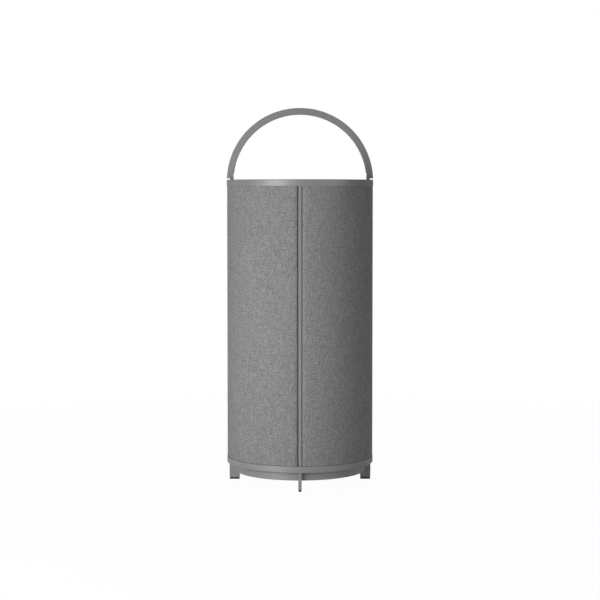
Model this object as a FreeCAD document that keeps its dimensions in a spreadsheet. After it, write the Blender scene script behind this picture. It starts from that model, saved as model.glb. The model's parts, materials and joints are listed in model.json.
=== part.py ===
import FreeCAD, Part
import math
import os
import re
import Sketcher

# Drum-shaped speaker that stands on four plate feet, with fabric panels and a folding bail handle.
# The origin is on the floor at the centre, +Z is up, and the front faces -Y.

Vector = FreeCAD.Vector
Rotation = FreeCAD.Rotation

# Driving sizes in millimetres, each one set by itself
SIZES = {
    # two metal hoops
    "body_radius": 125.0,
    "ring_wall": 3.5,
    "ring_height": 11.0,
    "ring_edge_round": 0.8,
    "base_edge_round": 1.4,
    # blades, which are both posts and feet
    "blade_thickness": 5.5,
    "blade_depth": 18.0,
    "foot_height": 28.5,
    "foot_taper": 0.7,
    "pad_height": 3.0,
    "pad_inset": 0.3,
    # clearances
    "seat_gap": 0.1,
    "soft_gap": 0.3,
    "overrun": 2.0,
    # space between the hoops
    "panel_space": 461.0,
    "panel_reveal": 1.0,
    "slot_gap": 1.6,
    "fabric_recess": 0.5,
    "fabric_thickness": 1.1,
    "fabric_edge_round": 1.2,
    "carrier_thickness": 2.4,
    "window_width": 36.0,
    "window_rib": 14.0,
    # plinth and battery
    "plinth_inset": 13.0,
    "plinth_wall": 2.5,
    "plinth_height": 14.5,
    "plinth_edge_round": 1.0,
    "base_plate_thickness": 4.0,
    "ledge_width": 6.5,
    "ledge_height": 3.0,
    "cover_thickness": 2.5,
    "screw_radius": 1.25,
    "screw_head": 2.8,
    "cell_radius": 9.1,
    "cell_length": 65.0,
    "tray_wall": 2.0,
    "tray_clearance": 2.0,
    "tray_height": 9.0,
    "socket_radius": 5.5,
    "socket_bore": 2.8,
    "socket_length": 14.0,
    "socket_end_wall": 3.5,
    "plug_clearance": 0.5,
    # electronics bay
    "bay_height": 62.5,
    "cabinet_gap": 2.4,
    "cabinet_wall": 4.0,
    "spacer_height": 8.0,
    "spacer_radius": 3.0,
    "board_thickness": 1.6,
    "board_clearance": 11.7,
    "board_length": 96.0,
    "board_gap": 5.0,
    "chip_side": 18.0,
    "chip_height": 2.0,
    "capacitor_radius": 6.0,
    "capacitor_height": 20.0,
    "sink_side": 30.0,
    "sink_base": 3.0,
    "sink_fin_height": 14.0,
    "sink_fin_thickness": 1.5,
    # stack above the bay
    "gap_height": 45.0,
    "head_height": 135.0,
    "head_inset": 5.0,
    "head_chamfer": 16.0,
    "head_wall": 4.0,
    "lid_thickness": 4.0,
    "lid_clearance": 10.0,
    "diffuser_depth": 33.0,
    "post_radius": 4.0,
    "post_inset": 14.0,
    "port_radius": 12.0,
    "port_wall": 1.5,
    "port_length": 95.0,
    "port_clearance": 1.5,
    # woofer
    "woofer_port_gap": 2.5,
    "woofer_rim": 7.0,
    "woofer_flange": 3.0,
    "woofer_wall": 2.0,
    "woofer_depth": 40.0,
    "woofer_base": 36.0,
    "woofer_magnet_radius": 38.0,
    "woofer_magnet_height": 22.0,
    "woofer_coil_radius": 20.0,
    "woofer_coil_wall": 1.0,
    "woofer_coil_gap": 0.9,
    "woofer_coil_depth": 12.0,
    "woofer_neck_height": 14.0,
    "woofer_cone_wall": 1.2,
    "woofer_roll": 3.3,
    "woofer_roll_wall": 0.6,
    "woofer_travel": 4.0,
    # full-range drivers
    "driver_mouth": 31.0,
    "driver_rim": 6.0,
    "driver_flange": 2.5,
    "driver_wall": 1.5,
    "driver_depth": 20.0,
    "driver_base": 17.0,
    "driver_magnet_radius": 21.0,
    "driver_magnet_height": 13.0,
    "driver_coil_radius": 9.5,
    "driver_coil_wall": 0.8,
    "driver_coil_gap": 0.7,
    "driver_coil_depth": 6.0,
    "driver_neck_height": 7.5,
    "driver_cone_wall": 0.9,
    "driver_roll": 2.2,
    "driver_roll_wall": 0.5,
    "driver_travel": 1.5,
    # top frame and its well
    "frame_plate": 4.0,
    "gasket_thickness": 1.0,
    "gasket_width": 20.0,
    "plate_thickness": 3.5,
    "well_radius": 56.0,
    "well_wall": 2.5,
    "well_depth": 9.5,
    "well_floor": 2.0,
    "light_gap": 2.0,
    "light_width": 2.0,
    "disc_skirt": 3.3,
    "button_gap": 0.3,
    "button_rim": 1.8,
    "button_rim_height": 1.2,
    "button_proud": 1.2,
    "button_travel": 0.8,
    "button_edge_round": 0.5,
    "mat_thickness": 3.0,
    "microphone_reach": 10.0,
    "microphone_radius": 1.5,
    "mesh_radius": 4.0,
    "mesh_thickness": 0.6,
    # handle and its hinge
    "handle_width": 11.5,
    "handle_depth": 8.0,
    "handle_rise": 2.8,
    "handle_edge_round": 0.8,
    "lap_gap": 0.4,
    "leg_clearance": 2.5,
    "lug_gap": 0.15,
    "lug_foot_height": 19.5,
    "lug_foot_width": 13.0,
    "lug_foot_depth": 13.2,
    "lug_bolt_radius": 2.0,
    "pin_radius": 2.5,
    "pin_end_wall": 1.8,
    "washer_radius": 3.7,
    # internal wiring
    "loom_radius": 2.5,
    "loom_standoff": 7.0,
    "loom_bend": 8.0,
    "loom_reach": 19.0,
    "loom_end": 40.0,
    "clip_width": 9.0,
    "clip_height": 6.0,
}

# Angles in degrees, counted from +X towards +Y
QUARTERS = [0, 90, 180, 270]
DIAGONALS = [45, 135, 225, 315]
LOOM_ANGLE = 112
SOCKET_ANGLE = 72
PORT_ANGLE = 45
# Heights of the lead's clips on the cabinet, as shares of its height
CLIP_HEIGHT_SHARES = (0.12, 0.37, 0.62, 0.87)
# The buttons' radii and the circle they lie on, as shares of the well's radius
BUTTON_SHARES = {"small": 0.155, "large": 0.196, "circle": 0.536}

# Levels and radii worked out from the sizes
BASE_LOW = "(pad_height + foot_height)"
BASE_HIGH = f"({BASE_LOW} + ring_height)"
TOP_LOW = f"({BASE_HIGH} + panel_space)"
TOP_HIGH = f"({TOP_LOW} + ring_height)"
RING_INNER = "(body_radius - ring_wall)"
BLADE_OUTER = f"({RING_INNER} - seat_gap)"
BLADE_INNER = f"({BLADE_OUTER} - blade_depth)"
NOTCH_WIDTH = "(blade_thickness + 2 * seat_gap)"
PLATE_LOW = f"({BASE_HIGH} - base_plate_thickness)"
PLINTH_LOW = f"({BASE_LOW} - plinth_height)"
PLINTH_RADIUS = "(body_radius - plinth_inset)"
COVER_HIGH = f"({PLINTH_LOW} + cover_thickness)"
COVER_RADIUS = f"({PLINTH_RADIUS} - plinth_wall - seat_gap)"
COVER_SCREW_CIRCLE = f"({PLINTH_RADIUS} - plinth_wall - ledge_width / 2)"
CABINET_RADIUS = f"({BLADE_INNER} - cabinet_gap)"
CABINET_LOW = f"({BASE_HIGH} + bay_height)"
WELL_LOW = f"({TOP_LOW} - well_depth)"
LID_HIGH = f"({WELL_LOW} - lid_clearance)"
HEAD_HIGH = f"({LID_HIGH} - lid_thickness)"
HEAD_LOW = f"({HEAD_HIGH} - head_height)"
CABINET_HIGH = f"({HEAD_LOW} - gap_height)"
HEAD_CORNER = f"({CABINET_RADIUS} - head_inset)"
HEAD_HALF = f"(head_chamfer / 2 + sqrt({HEAD_CORNER} ^ 2 / 2 - head_chamfer ^ 2 / 4))"
HEAD_MIDDLE = f"(({HEAD_LOW} + {HEAD_HIGH}) / 2)"
PANEL_LOW = f"({BASE_HIGH} + panel_reveal)"
PANEL_HIGH = f"({TOP_LOW} - soft_gap)"
FABRIC_OUTER = "(body_radius - fabric_recess)"
CARRIER_OUTER = f"({FABRIC_OUTER} - fabric_thickness)"
CARRIER_INNER = f"({CARRIER_OUTER} - carrier_thickness)"
PANEL_EDGE = "(blade_thickness / 2 + slot_gap)"
CARRIER_EDGE = f"({PANEL_EDGE} + fabric_thickness)"
FRAME_HIGH = f"({TOP_LOW} + frame_plate)"
TOP_PLATE_LOW = f"({FRAME_HIGH} + gasket_thickness)"
TOP_PLATE_HIGH = f"({TOP_PLATE_LOW} + plate_thickness)"
BOARD_LOW = f"({WELL_LOW} + well_floor + board_thickness * 2)"
BOARD_HIGH = f"({BOARD_LOW} + board_thickness)"
MAT_HIGH = f"({BOARD_HIGH} + mat_thickness)"
LIGHT_RADIUS = "(well_radius - light_gap)"
LIGHT_INNER = f"({LIGHT_RADIUS} - light_width)"
DISC_RADIUS = f"({LIGHT_INNER} - seat_gap)"
MICROPHONE_CIRCLE = "(well_radius + microphone_reach)"
BUTTON_RADIUS = f"(well_radius * {BUTTON_SHARES['small']})"
PLAY_RADIUS = f"(well_radius * {BUTTON_SHARES['large']})"
BUTTON_CIRCLE = f"(well_radius * {BUTTON_SHARES['circle']})"
# The handle is a half hoop of the body's own radius. Its pivot lies a half depth above the legs' ends.
HANDLE_CENTRE = f"({TOP_HIGH} - handle_rise)"
HANDLE_INNER = "(body_radius - handle_width)"
LEG_LOW = f"({TOP_HIGH} + leg_clearance)"
PIVOT_HIGH = f"({LEG_LOW} + handle_depth / 2)"
LUG_HIGH = f"({PIVOT_HIGH} + handle_depth / 2)"
LUG_INNER = f"({HANDLE_INNER} - seat_gap)"
LUG_OUTER = "(body_radius - handle_width / 2)"
LAP_PLANE = f"({LUG_OUTER} + lap_gap)"
LUG_BOLT_CIRCLE = f"({LUG_OUTER} - lug_foot_depth / 2)"
LUG_BOLT_HIGH = f"({TOP_LOW} - lug_foot_height / 2)"
SOCKET_HIGH = f"({BASE_LOW} - socket_radius - plug_clearance)"
PORT_CIRCLE = f"({CABINET_RADIUS} - cabinet_wall - port_clearance - port_radius)"
WOOFER_MOUTH = f"({PORT_CIRCLE} - port_radius - woofer_port_gap - woofer_rim)"
WOOFER_SCREW_CIRCLE = f"({WOOFER_MOUTH} + (woofer_rim + woofer_wall) / 2)"
MOUTHS = {"woofer": WOOFER_MOUTH, "driver": "driver_mouth"}
LOOM_CIRCLE = f"({CABINET_RADIUS} + loom_standoff)"
LOOM_LOW = f"({CABINET_LOW} - spacer_height * 2)"
LOOM_HIGH = f"({LID_HIGH} + lid_clearance / 2)"

doc = FreeCAD.newDocument("speaker")
sheet = doc.addObject("Spreadsheet::Sheet", "sizes")
for row, (alias, size) in enumerate(SIZES.items(), start=1):
    sheet.set(f"A{row}", alias)
    sheet.set(f"B{row}", str(size))
    sheet.setAlias(f"B{row}", alias)
doc.recompute()

nodes = []
WORD = re.compile(r"[a-z][a-z_]+")
UP_TO_X = Rotation(Vector(0, 1, 0), 90)
UP_TO_Y = Rotation(Vector(1, 0, 0), -90)
UPRIGHT = Rotation()


def cells(expression):
    """An expression with each size's name pointed at its cell."""
    return WORD.sub(lambda found: f"sizes.{found[0]}" if found[0] in SIZES else found[0], expression)


def value(expression):
    return float(sheet.evalExpression(cells(expression)))


def bind(item, name, expression):
    item.setExpression(name, cells(expression))


def place(item, at, turn=UPRIGHT):
    item.Placement = FreeCAD.Placement(Vector(*[value(part) for part in at]), turn)
    for axis, expression in zip("xyz", at):
        bind(item, f"Placement.Base.{axis}", expression)


def keep(item, label):
    """Name a finished sub-part and put it on the list that is written out."""
    item.Label = label
    nodes.append(item)
    return item


def around(radius, angle):
    """X and Y expressions of a point at this radius and angle."""
    return f"{radius} * cos({angle})", f"{radius} * sin({angle})"


def turned_about(angle):
    return Rotation(Vector(0, 0, 1), angle)


def sketch_on(body, plane, outline):
    """A closed outline of straight lines whose corners are bound to the sheet."""
    sketch = body.newObject("Sketcher::SketchObject", "outline")
    origin_plane = [item for item in body.Origin.OriginFeatures if item.Role == plane][0]
    sketch.AttachmentSupport = [(origin_plane, "")]
    sketch.MapMode = "FlatFace"
    corners = [Vector(value(across), value(up), 0) for across, up in outline]
    count = len(corners)
    for index, corner in enumerate(corners):
        sketch.addGeometry(Part.LineSegment(corner, corners[(index + 1) % count]))
    for index in range(count):
        sketch.addConstraint(Sketcher.Constraint("Coincident", index, 2, (index + 1) % count, 1))
    for index, (across, up) in enumerate(outline):
        for kind, expression in (("DistanceX", across), ("DistanceY", up)):
            rule = Sketcher.Constraint(kind, -1, 1, index, 1, value(expression))
            number = sketch.addConstraint(rule)
            bind(sketch, f"Constraints[{number}]", expression)
    return sketch


def turned(outline, turn=360):
    """A body turned about Z from a half section of (radius, height) corners."""
    body = doc.addObject("PartDesign::Body", "turned")
    sketch = sketch_on(body, "XZ_Plane", outline)
    revolution = body.newObject("PartDesign::Revolution", "revolution")
    revolution.Profile = sketch
    revolution.ReferenceAxis = (sketch, ["V_Axis"])
    revolution.Angle = turn
    sketch.Visibility = False
    return body


def padded(plane, outline, low, thickness, symmetric=False):
    """A body extruded from an outline that lies at the height called low."""
    body = doc.addObject("PartDesign::Body", "padded")
    sketch = sketch_on(body, plane, outline)
    bind(sketch, "AttachmentOffset.Base.z", low)
    pad = body.newObject("PartDesign::Pad", "pad")
    pad.Profile = sketch
    pad.SideType = "Symmetric" if symmetric else "One side"
    bind(pad, "Length", thickness)
    return body


def round_edges(body, chosen, radius):
    """A fillet on the edges of the body's last feature for which chosen(edge) is true."""
    doc.recompute()
    base = body.Tip
    names = [f"Edge{number}" for number, edge in enumerate(base.Shape.Edges, start=1) if chosen(edge)]
    fillet = body.newObject("PartDesign::Fillet", "fillet")
    fillet.Base = (base, names)
    bind(fillet, "Radius", radius)
    body.Tip = fillet
    return body


def hoop_at(radius, height):
    """A test for full circles of this radius at this height."""
    reach = value(radius)
    level = value(height)
    near = value("seat_gap") / 2

    def test(edge):
        if not isinstance(edge.Curve, Part.Circle):
            return False
        return abs(edge.Curve.Radius - reach) < near and abs(edge.BoundBox.ZMax - level) < near

    return test


def cylinder(radius, length, at, turn=UPRIGHT):
    item = doc.addObject("Part::Cylinder", "cylinder")
    bind(item, "Radius", radius)
    bind(item, "Height", length)
    place(item, at, turn)
    return item


def box(across, deep, tall, at, turn=UPRIGHT):
    item = doc.addObject("Part::Box", "box")
    bind(item, "Length", across)
    bind(item, "Width", deep)
    bind(item, "Height", tall)
    place(item, at, turn)
    return item


def radial_box(reach, across, tall, inner, low, angle):
    """A box that points away from the axis, centred on the angle's line and starting at inner."""
    quarter = angle + 90
    along = around(inner, angle)
    aside = around(f"{across} / 2", quarter)
    corner = (f"{along[0]} - {aside[0]}", f"{along[1]} - {aside[1]}", low)
    return box(reach, across, tall, corner, turned_about(angle))


def group(items):
    item = doc.addObject("Part::Compound", "group")
    item.Links = items
    return item


def cut(base, tools):
    item = doc.addObject("Part::Cut", "cut")
    item.Base = base
    item.Tool = tools[0] if len(tools) == 1 else fuse(tools)
    return item


def fuse(items):
    item = doc.addObject("Part::MultiFuse", "fuse")
    item.Shapes = items
    return item


def common(first, second):
    item = doc.addObject("Part::Common", "common")
    item.Base = first
    item.Tool = second
    return item


def foot_notches(low, high):
    """Cutters that let the four blades through a round plate."""
    reach = f"({RING_INNER} - {BLADE_INNER} + seat_gap + overrun)"
    inner = f"({BLADE_INNER} - seat_gap)"
    tall = f"({high} - {low} + 2 * overrun)"
    return [radial_box(reach, NOTCH_WIDTH, tall, inner, f"{low} - overrun", angle) for angle in QUARTERS]


def ring_of_rods(radius, length, circle, low, angles):
    return [cylinder(radius, length, (*around(circle, angle), low)) for angle in angles]


def tube_outline(outer, inner, low, high):
    return [(inner, low), (outer, low), (outer, high), (inner, high)]


def disc(radius, low, high):
    return turned(tube_outline(radius, "0", low, high))


def make_rings():
    top = turned(tube_outline("body_radius", RING_INNER, TOP_LOW, TOP_HIGH))
    keep(round_edges(top, hoop_at("body_radius", TOP_HIGH), "ring_edge_round"), "top_ring")
    base = turned(tube_outline("body_radius", RING_INNER, BASE_LOW, BASE_HIGH))
    keep(round_edges(base, hoop_at("body_radius", BASE_LOW), "base_edge_round"), "base_ring")


def make_blades():
    outline = [
        (f"{BLADE_INNER} + foot_taper", "pad_height"),
        (f"{BLADE_OUTER} - foot_taper", "pad_height"),
        (BLADE_OUTER, BASE_LOW),
        (BLADE_OUTER, TOP_LOW),
        (BLADE_INNER, TOP_LOW),
        (BLADE_INNER, BASE_LOW),
    ]
    bolt_at = (LUG_BOLT_CIRCLE, "blade_thickness * -1", LUG_BOLT_HIGH)
    for angle, side in zip(QUARTERS, ("right", "back", "left", "front")):
        blade = padded("XZ_Plane", outline, "0", "blade_thickness", symmetric=True)
        if side in ("right", "left"):
            hole = cylinder("(lug_bolt_radius + seat_gap)", "2 * blade_thickness", bolt_at, UP_TO_Y)
            blade = cut(blade, [hole])
        blade.Placement = FreeCAD.Placement(Vector(), turned_about(angle))
        keep(blade, f"{side}_blade")
    reach = "(blade_depth - 2 * foot_taper - 2 * pad_inset)"
    across = "(blade_thickness - 2 * pad_inset)"
    inner = f"({BLADE_INNER} + foot_taper + pad_inset)"
    pads = [radial_box(reach, across, "pad_height", inner, "0", angle) for angle in QUARTERS]
    keep(group(pads), "foot_pads")


def make_plinth():
    """The plate inside the base ring, the drum below it and its bottom cover. Returns the cover's screws."""
    plate = disc(BLADE_OUTER, PLATE_LOW, BASE_HIGH)
    keep(cut(plate, foot_notches(PLATE_LOW, BASE_HIGH)), "base_plate")
    wall_inner = f"({PLINTH_RADIUS} - plinth_wall)"
    ledge_inner = f"({wall_inner} - ledge_width)"
    ledge_high = f"({COVER_HIGH} + ledge_height)"
    drum = turned(
        [
            (wall_inner, PLINTH_LOW),
            (PLINTH_RADIUS, PLINTH_LOW),
            (PLINTH_RADIUS, PLATE_LOW),
            (wall_inner, PLATE_LOW),
            (wall_inner, ledge_high),
            (ledge_inner, ledge_high),
            (ledge_inner, COVER_HIGH),
            (wall_inner, COVER_HIGH),
        ]
    )
    round_edges(drum, hoop_at(PLINTH_RADIUS, PLINTH_LOW), "plinth_edge_round")
    angles = [quarter + step for quarter in QUARTERS for step in (30, 60)]
    drilled = f"({ledge_high} - {PLINTH_LOW} + 2 * overrun)"
    hole = "(screw_radius + seat_gap)"
    holes = ring_of_rods(hole, drilled, COVER_SCREW_CIRCLE, f"{PLINTH_LOW} - overrun", angles)
    socket_side = "(socket_radius + seat_gap)"
    socket_low = (*around(f"({PLINTH_RADIUS} - socket_length - overrun)", SOCKET_ANGLE), SOCKET_HIGH)
    along = turned_about(SOCKET_ANGLE).multiply(UP_TO_X)
    opening = cylinder(socket_side, "socket_length + 2 * overrun", socket_low, along)
    gap_low = f"({COVER_HIGH} - overrun)"
    gap_tall = f"({SOCKET_HIGH} - {gap_low})"
    gap_inner = f"({ledge_inner} - overrun)"
    across = f"2 * {socket_side}"
    ledge_gap = radial_box("ledge_width + overrun", across, gap_tall, gap_inner, gap_low, SOCKET_ANGLE)
    cutters = foot_notches(PLINTH_LOW, PLATE_LOW) + holes + [opening, ledge_gap]
    keep(cut(drum, cutters), "plinth_drum")
    cover = disc(COVER_RADIUS, PLINTH_LOW, COVER_HIGH)
    head_space = "(screw_head + seat_gap)"
    head_high = "(cover_thickness / 2)"
    sinks = ring_of_rods(
        head_space, f"{head_high} + overrun", COVER_SCREW_CIRCLE, f"{PLINTH_LOW} - overrun", angles
    )
    holes = ring_of_rods(hole, drilled, COVER_SCREW_CIRCLE, f"{PLINTH_LOW} - overrun", angles)
    keep(cut(cover, foot_notches(PLINTH_LOW, COVER_HIGH) + holes + sinks), "bottom_cover")
    screws = []
    for angle in angles:
        at = around(COVER_SCREW_CIRCLE, angle)
        head = cylinder("screw_head", f"{head_high} - seat_gap", (*at, f"{PLINTH_LOW} + seat_gap"))
        shank_tall = f"{ledge_high} - {PLINTH_LOW} - {head_high}"
        shank = cylinder("screw_radius", shank_tall, (*at, f"{PLINTH_LOW} + {head_high}"))
        screws.append(fuse([head, shank]))
    return screws


def make_battery():
    """Two columns of up to five cells in a low frame on the bottom cover."""
    pitch = "(2 * cell_radius + soft_gap)"
    inside_x = "(2 * cell_length + 3 * soft_gap)"
    room = value(f"{PLINTH_RADIUS} - plinth_wall - ledge_width - tray_clearance")
    half_length = value(f"{inside_x} / 2 + tray_wall")
    half_room = (room**2 - half_length**2) ** 0.5 - value("tray_wall")
    rows = min(5, int(2 * half_room / value(pitch)))
    cells_made = []
    for column in (-1, 0):
        for line in range(rows):
            start = f"{column} * (cell_length + soft_gap) + soft_gap / 2"
            across = f"({line} - {rows - 1} / 2) * {pitch}"
            at = (start, across, f"{COVER_HIGH} + soft_gap + cell_radius")
            cells_made.append(cylinder("cell_radius", "cell_length", at, UP_TO_X))
    keep(group(cells_made), "battery_cells")
    inside_y = f"({rows} * {pitch} + soft_gap)"
    outside = box(
        f"{inside_x} + 2 * tray_wall",
        f"{inside_y} + 2 * tray_wall",
        "tray_height",
        (f"{inside_x} / -2 - tray_wall", f"{inside_y} / -2 - tray_wall", COVER_HIGH),
    )
    inside = box(
        inside_x,
        inside_y,
        "tray_height + 2 * overrun",
        (f"{inside_x} / -2", f"{inside_y} / -2", f"{COVER_HIGH} - overrun"),
    )
    keep(cut(outside, [inside]), "battery_tray")


def make_socket():
    """The charging inlet, a short barrel in the plinth wall near the back foot."""
    along = turned_about(SOCKET_ANGLE).multiply(UP_TO_X)
    low = (*around(f"({PLINTH_RADIUS} - socket_length)", SOCKET_ANGLE), SOCKET_HIGH)
    barrel = cylinder("socket_radius", "socket_length", low, along)
    bore_low = (*around(f"({PLINTH_RADIUS} - socket_length + socket_end_wall)", SOCKET_ANGLE), SOCKET_HIGH)
    bore = cylinder("socket_bore", "socket_length", bore_low, along)
    keep(cut(barrel, [bore]), "charging_socket")


def make_electronics():
    wall_inner = f"({CABINET_RADIUS} - cabinet_wall)"
    bay = turned(tube_outline(CABINET_RADIUS, wall_inner, BASE_HIGH, CABINET_LOW))
    hole_low = (*around(f"({wall_inner} - overrun)", LOOM_ANGLE), LOOM_LOW)
    along = turned_about(LOOM_ANGLE).multiply(UP_TO_X)
    hole = cylinder("(loom_radius + soft_gap)", "cabinet_wall + 2 * overrun", hole_low, along)
    keep(cut(bay, [hole]), "bay_wall")
    board_reach = f"({wall_inner} - board_clearance)"
    width = f"(sqrt({board_reach} ^ 2 - (board_length / 2) ^ 2) - board_gap / 2)"
    board_low = f"({BASE_HIGH} + spacer_height)"
    board_high = f"({board_low} + board_thickness)"
    spacers = []
    for side, name in ((-1, "main_board"), (1, "amplifier_board")):
        middle = f"({side} * (board_gap + {width}) / 2)"
        corner = (f"{middle} - {width} / 2", "board_length / -2", board_low)
        board = box(width, "board_length", "board_thickness", corner)
        chips = []
        for step in (-1, 1) if side < 0 else (-1,):
            chip_y = f"({step} * (sink_side + chip_side) - chip_side) / 2"
            chip_at = (f"{middle} - chip_side / 2", chip_y, board_high)
            chips.append(box("chip_side", "chip_side", "chip_height", chip_at))
        rods = []
        for step in (-1, 0, 1):
            rod_at = (f"{middle} + {step} * {width} / 4", "board_length * 3 / 8", board_high)
            rods.append(cylinder("capacitor_radius", "capacitor_height", rod_at))
        keep(fuse([board] + chips + rods), name)
        for step_x in (-1, 1):
            for step_y in (-1, 1):
                x = f"{middle} + {step_x} * ({width} / 2 - 2 * spacer_radius)"
                y = f"{step_y} * (board_length / 2 - 2 * spacer_radius)"
                spacers.append(cylinder("spacer_radius", "spacer_height", (x, y, BASE_HIGH)))
    circle = "(well_radius - 3 * spacer_radius)"
    well_floor = f"({WELL_LOW} + well_floor)"
    spacers += ring_of_rods("spacer_radius", f"({BOARD_LOW} - {well_floor})", circle, well_floor, DIAGONALS)
    keep(group(spacers), "board_spacers")
    middle = f"((board_gap + {width}) / 2)"
    base_at = (f"{middle} - sink_side / 2", "sink_side / -2", board_high)
    pieces = [box("sink_side", "sink_side", "sink_base", base_at)]
    fins = 6
    for fin in range(fins):
        fin_x = f"{middle} - sink_side / 2 + {fin} * (sink_side - sink_fin_thickness) / {fins - 1}"
        fin_at = (fin_x, "sink_side / -2", f"{board_high} + sink_base")
        pieces.append(box("sink_fin_thickness", "sink_side", "sink_fin_height", fin_at))
    keep(fuse(pieces), "heat_sink")


def make_cabinet():
    """The closed bass cabinet, with the woofer and the port tube in its top."""
    inner = f"({CABINET_RADIUS} - cabinet_wall)"
    floor_high = f"({CABINET_LOW} + cabinet_wall)"
    baffle_low = f"({CABINET_HIGH} - 2 * cabinet_wall)"
    mouth = f"({WOOFER_MOUTH} + woofer_wall + soft_gap)"
    cabinet = turned(
        [
            ("0", CABINET_LOW),
            (CABINET_RADIUS, CABINET_LOW),
            (CABINET_RADIUS, CABINET_HIGH),
            (mouth, CABINET_HIGH),
            (mouth, baffle_low),
            (inner, baffle_low),
            (inner, floor_high),
            ("0", floor_high),
        ]
    )
    port_at = (*around(PORT_CIRCLE, PORT_ANGLE), f"{baffle_low} - overrun")
    hole = cylinder("(port_radius + seat_gap)", "2 * cabinet_wall + 2 * overrun", port_at)
    clips = []
    reach = "(loom_standoff + loom_radius * 2 + cabinet_wall / 2)"
    clip_inner = f"({CABINET_RADIUS} - cabinet_wall / 2)"
    lead_holes = []
    for share in CLIP_HEIGHT_SHARES:
        low = f"({CABINET_LOW} + {share} * ({CABINET_HIGH} - {CABINET_LOW}))"
        clips.append(radial_box(reach, "clip_width", "clip_height", clip_inner, low, LOOM_ANGLE))
        hole_at = (*around(LOOM_CIRCLE, LOOM_ANGLE), f"{low} - overrun")
        lead_holes.append(cylinder("(loom_radius + soft_gap)", "clip_height + 2 * overrun", hole_at))
    keep(cut(fuse([cabinet] + clips), [hole] + lead_holes), "bass_cabinet")
    tube_at = (*around(PORT_CIRCLE, PORT_ANGLE), f"{CABINET_HIGH} - port_length")
    bore_at = (*around(PORT_CIRCLE, PORT_ANGLE), f"{CABINET_HIGH} - port_length - overrun")
    tube = cylinder("port_radius", "port_length", tube_at)
    bore = cylinder("(port_radius - port_wall)", "port_length + 2 * overrun", bore_at)
    keep(cut(tube, [bore]), "bass_port")


def speaker_levels(kind, face):
    """Heights shared by the pieces of one loudspeaker that faces +Z, its flange seated on face."""
    back = f"({face} - {kind}_depth)"
    return {
        "mouth": MOUTHS[kind],
        "face": face,
        "back": back,
        "magnet_low": f"({back} - {kind}_magnet_height)",
        "neck": f"({back} + {kind}_neck_height)",
        "coil_outer": f"({kind}_coil_radius + {kind}_coil_wall)",
        "rim": f"({MOUTHS[kind]} - 2 * {kind}_roll - soft_gap)",
    }


def speaker_frame(kind, level):
    wall = f"{kind}_wall"
    return turned(
        [
            (f"{level['mouth']} + {kind}_rim", level["face"]),
            (f"{level['mouth']} + {kind}_rim", f"{level['face']} + {kind}_flange"),
            (level["mouth"], f"{level['face']} + {kind}_flange"),
            (level["mouth"], f"{level['face']} - 3 * {wall}"),
            (f"{kind}_base - {wall}", f"{level['back']} + {wall}"),
            (f"{level['coil_outer']} + {kind}_coil_gap", f"{level['back']} + {wall}"),
            (f"{level['coil_outer']} + {kind}_coil_gap", level["back"]),
            (f"{kind}_base", level["back"]),
            (f"{level['mouth']} + {wall}", f"{level['face']} - 4 * {wall}"),
            (f"{level['mouth']} + {wall}", level["face"]),
        ]
    )


def speaker_magnet(kind, level):
    slot_low = f"({level['back']} - {kind}_coil_depth - {kind}_travel - overrun)"
    slot_inner = f"({kind}_coil_radius - {kind}_coil_gap)"
    slot_outer = f"({level['coil_outer']} + {kind}_coil_gap)"
    return turned(
        [
            ("0", level["magnet_low"]),
            (f"{kind}_magnet_radius", level["magnet_low"]),
            (f"{kind}_magnet_radius", level["back"]),
            (slot_outer, level["back"]),
            (slot_outer, slot_low),
            (slot_inner, slot_low),
            (slot_inner, level["back"]),
            ("0", level["back"]),
        ]
    )


def speaker_cone(kind, level):
    """Paper cone with its dust cap, a shallow dish over the voice coil."""
    wall = f"{kind}_cone_wall"
    return turned(
        [
            ("0", f"{level['neck']} + 3 * {wall}"),
            (f"{kind}_coil_radius - {wall}", level["neck"]),
            (f"{level['coil_outer']} + {wall}", level["neck"]),
            (level["rim"], f"{level['face']} - {wall}"),
            (level["rim"], level["face"]),
            (f"{level['rim']} - 2 * {wall}", level["face"]),
            (f"{kind}_coil_radius + {wall}", f"{level['neck']} + 2 * {wall}"),
            ("0", f"{level['neck']} + 6 * {wall}"),
        ]
    )


def speaker_coil(kind, level):
    low = f"({level['back']} - {kind}_coil_depth)"
    return turned(tube_outline(level["coil_outer"], f"{kind}_coil_radius", low, level["neck"]))


def speaker_surround(kind, level):
    """Half roll between the cone's rim and the frame's mouth."""
    middle = f"({level['mouth']} - {kind}_roll - soft_gap / 2)"
    outer = doc.addObject("Part::Torus", "roll")
    inner = doc.addObject("Part::Torus", "roll_hollow")
    for item, minor in ((outer, f"{kind}_roll"), (inner, f"{kind}_roll - {kind}_roll_wall")):
        bind(item, "Radius1", middle)
        bind(item, "Radius2", minor)
        place(item, ("0", "0", level["face"]))
    slab_low = f"{level['face']} - {kind}_roll - overrun"
    slab = cylinder(level["mouth"], f"{kind}_roll + overrun", ("0", "0", slab_low))
    return cut(cut(outer, [inner]), [slab])


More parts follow.
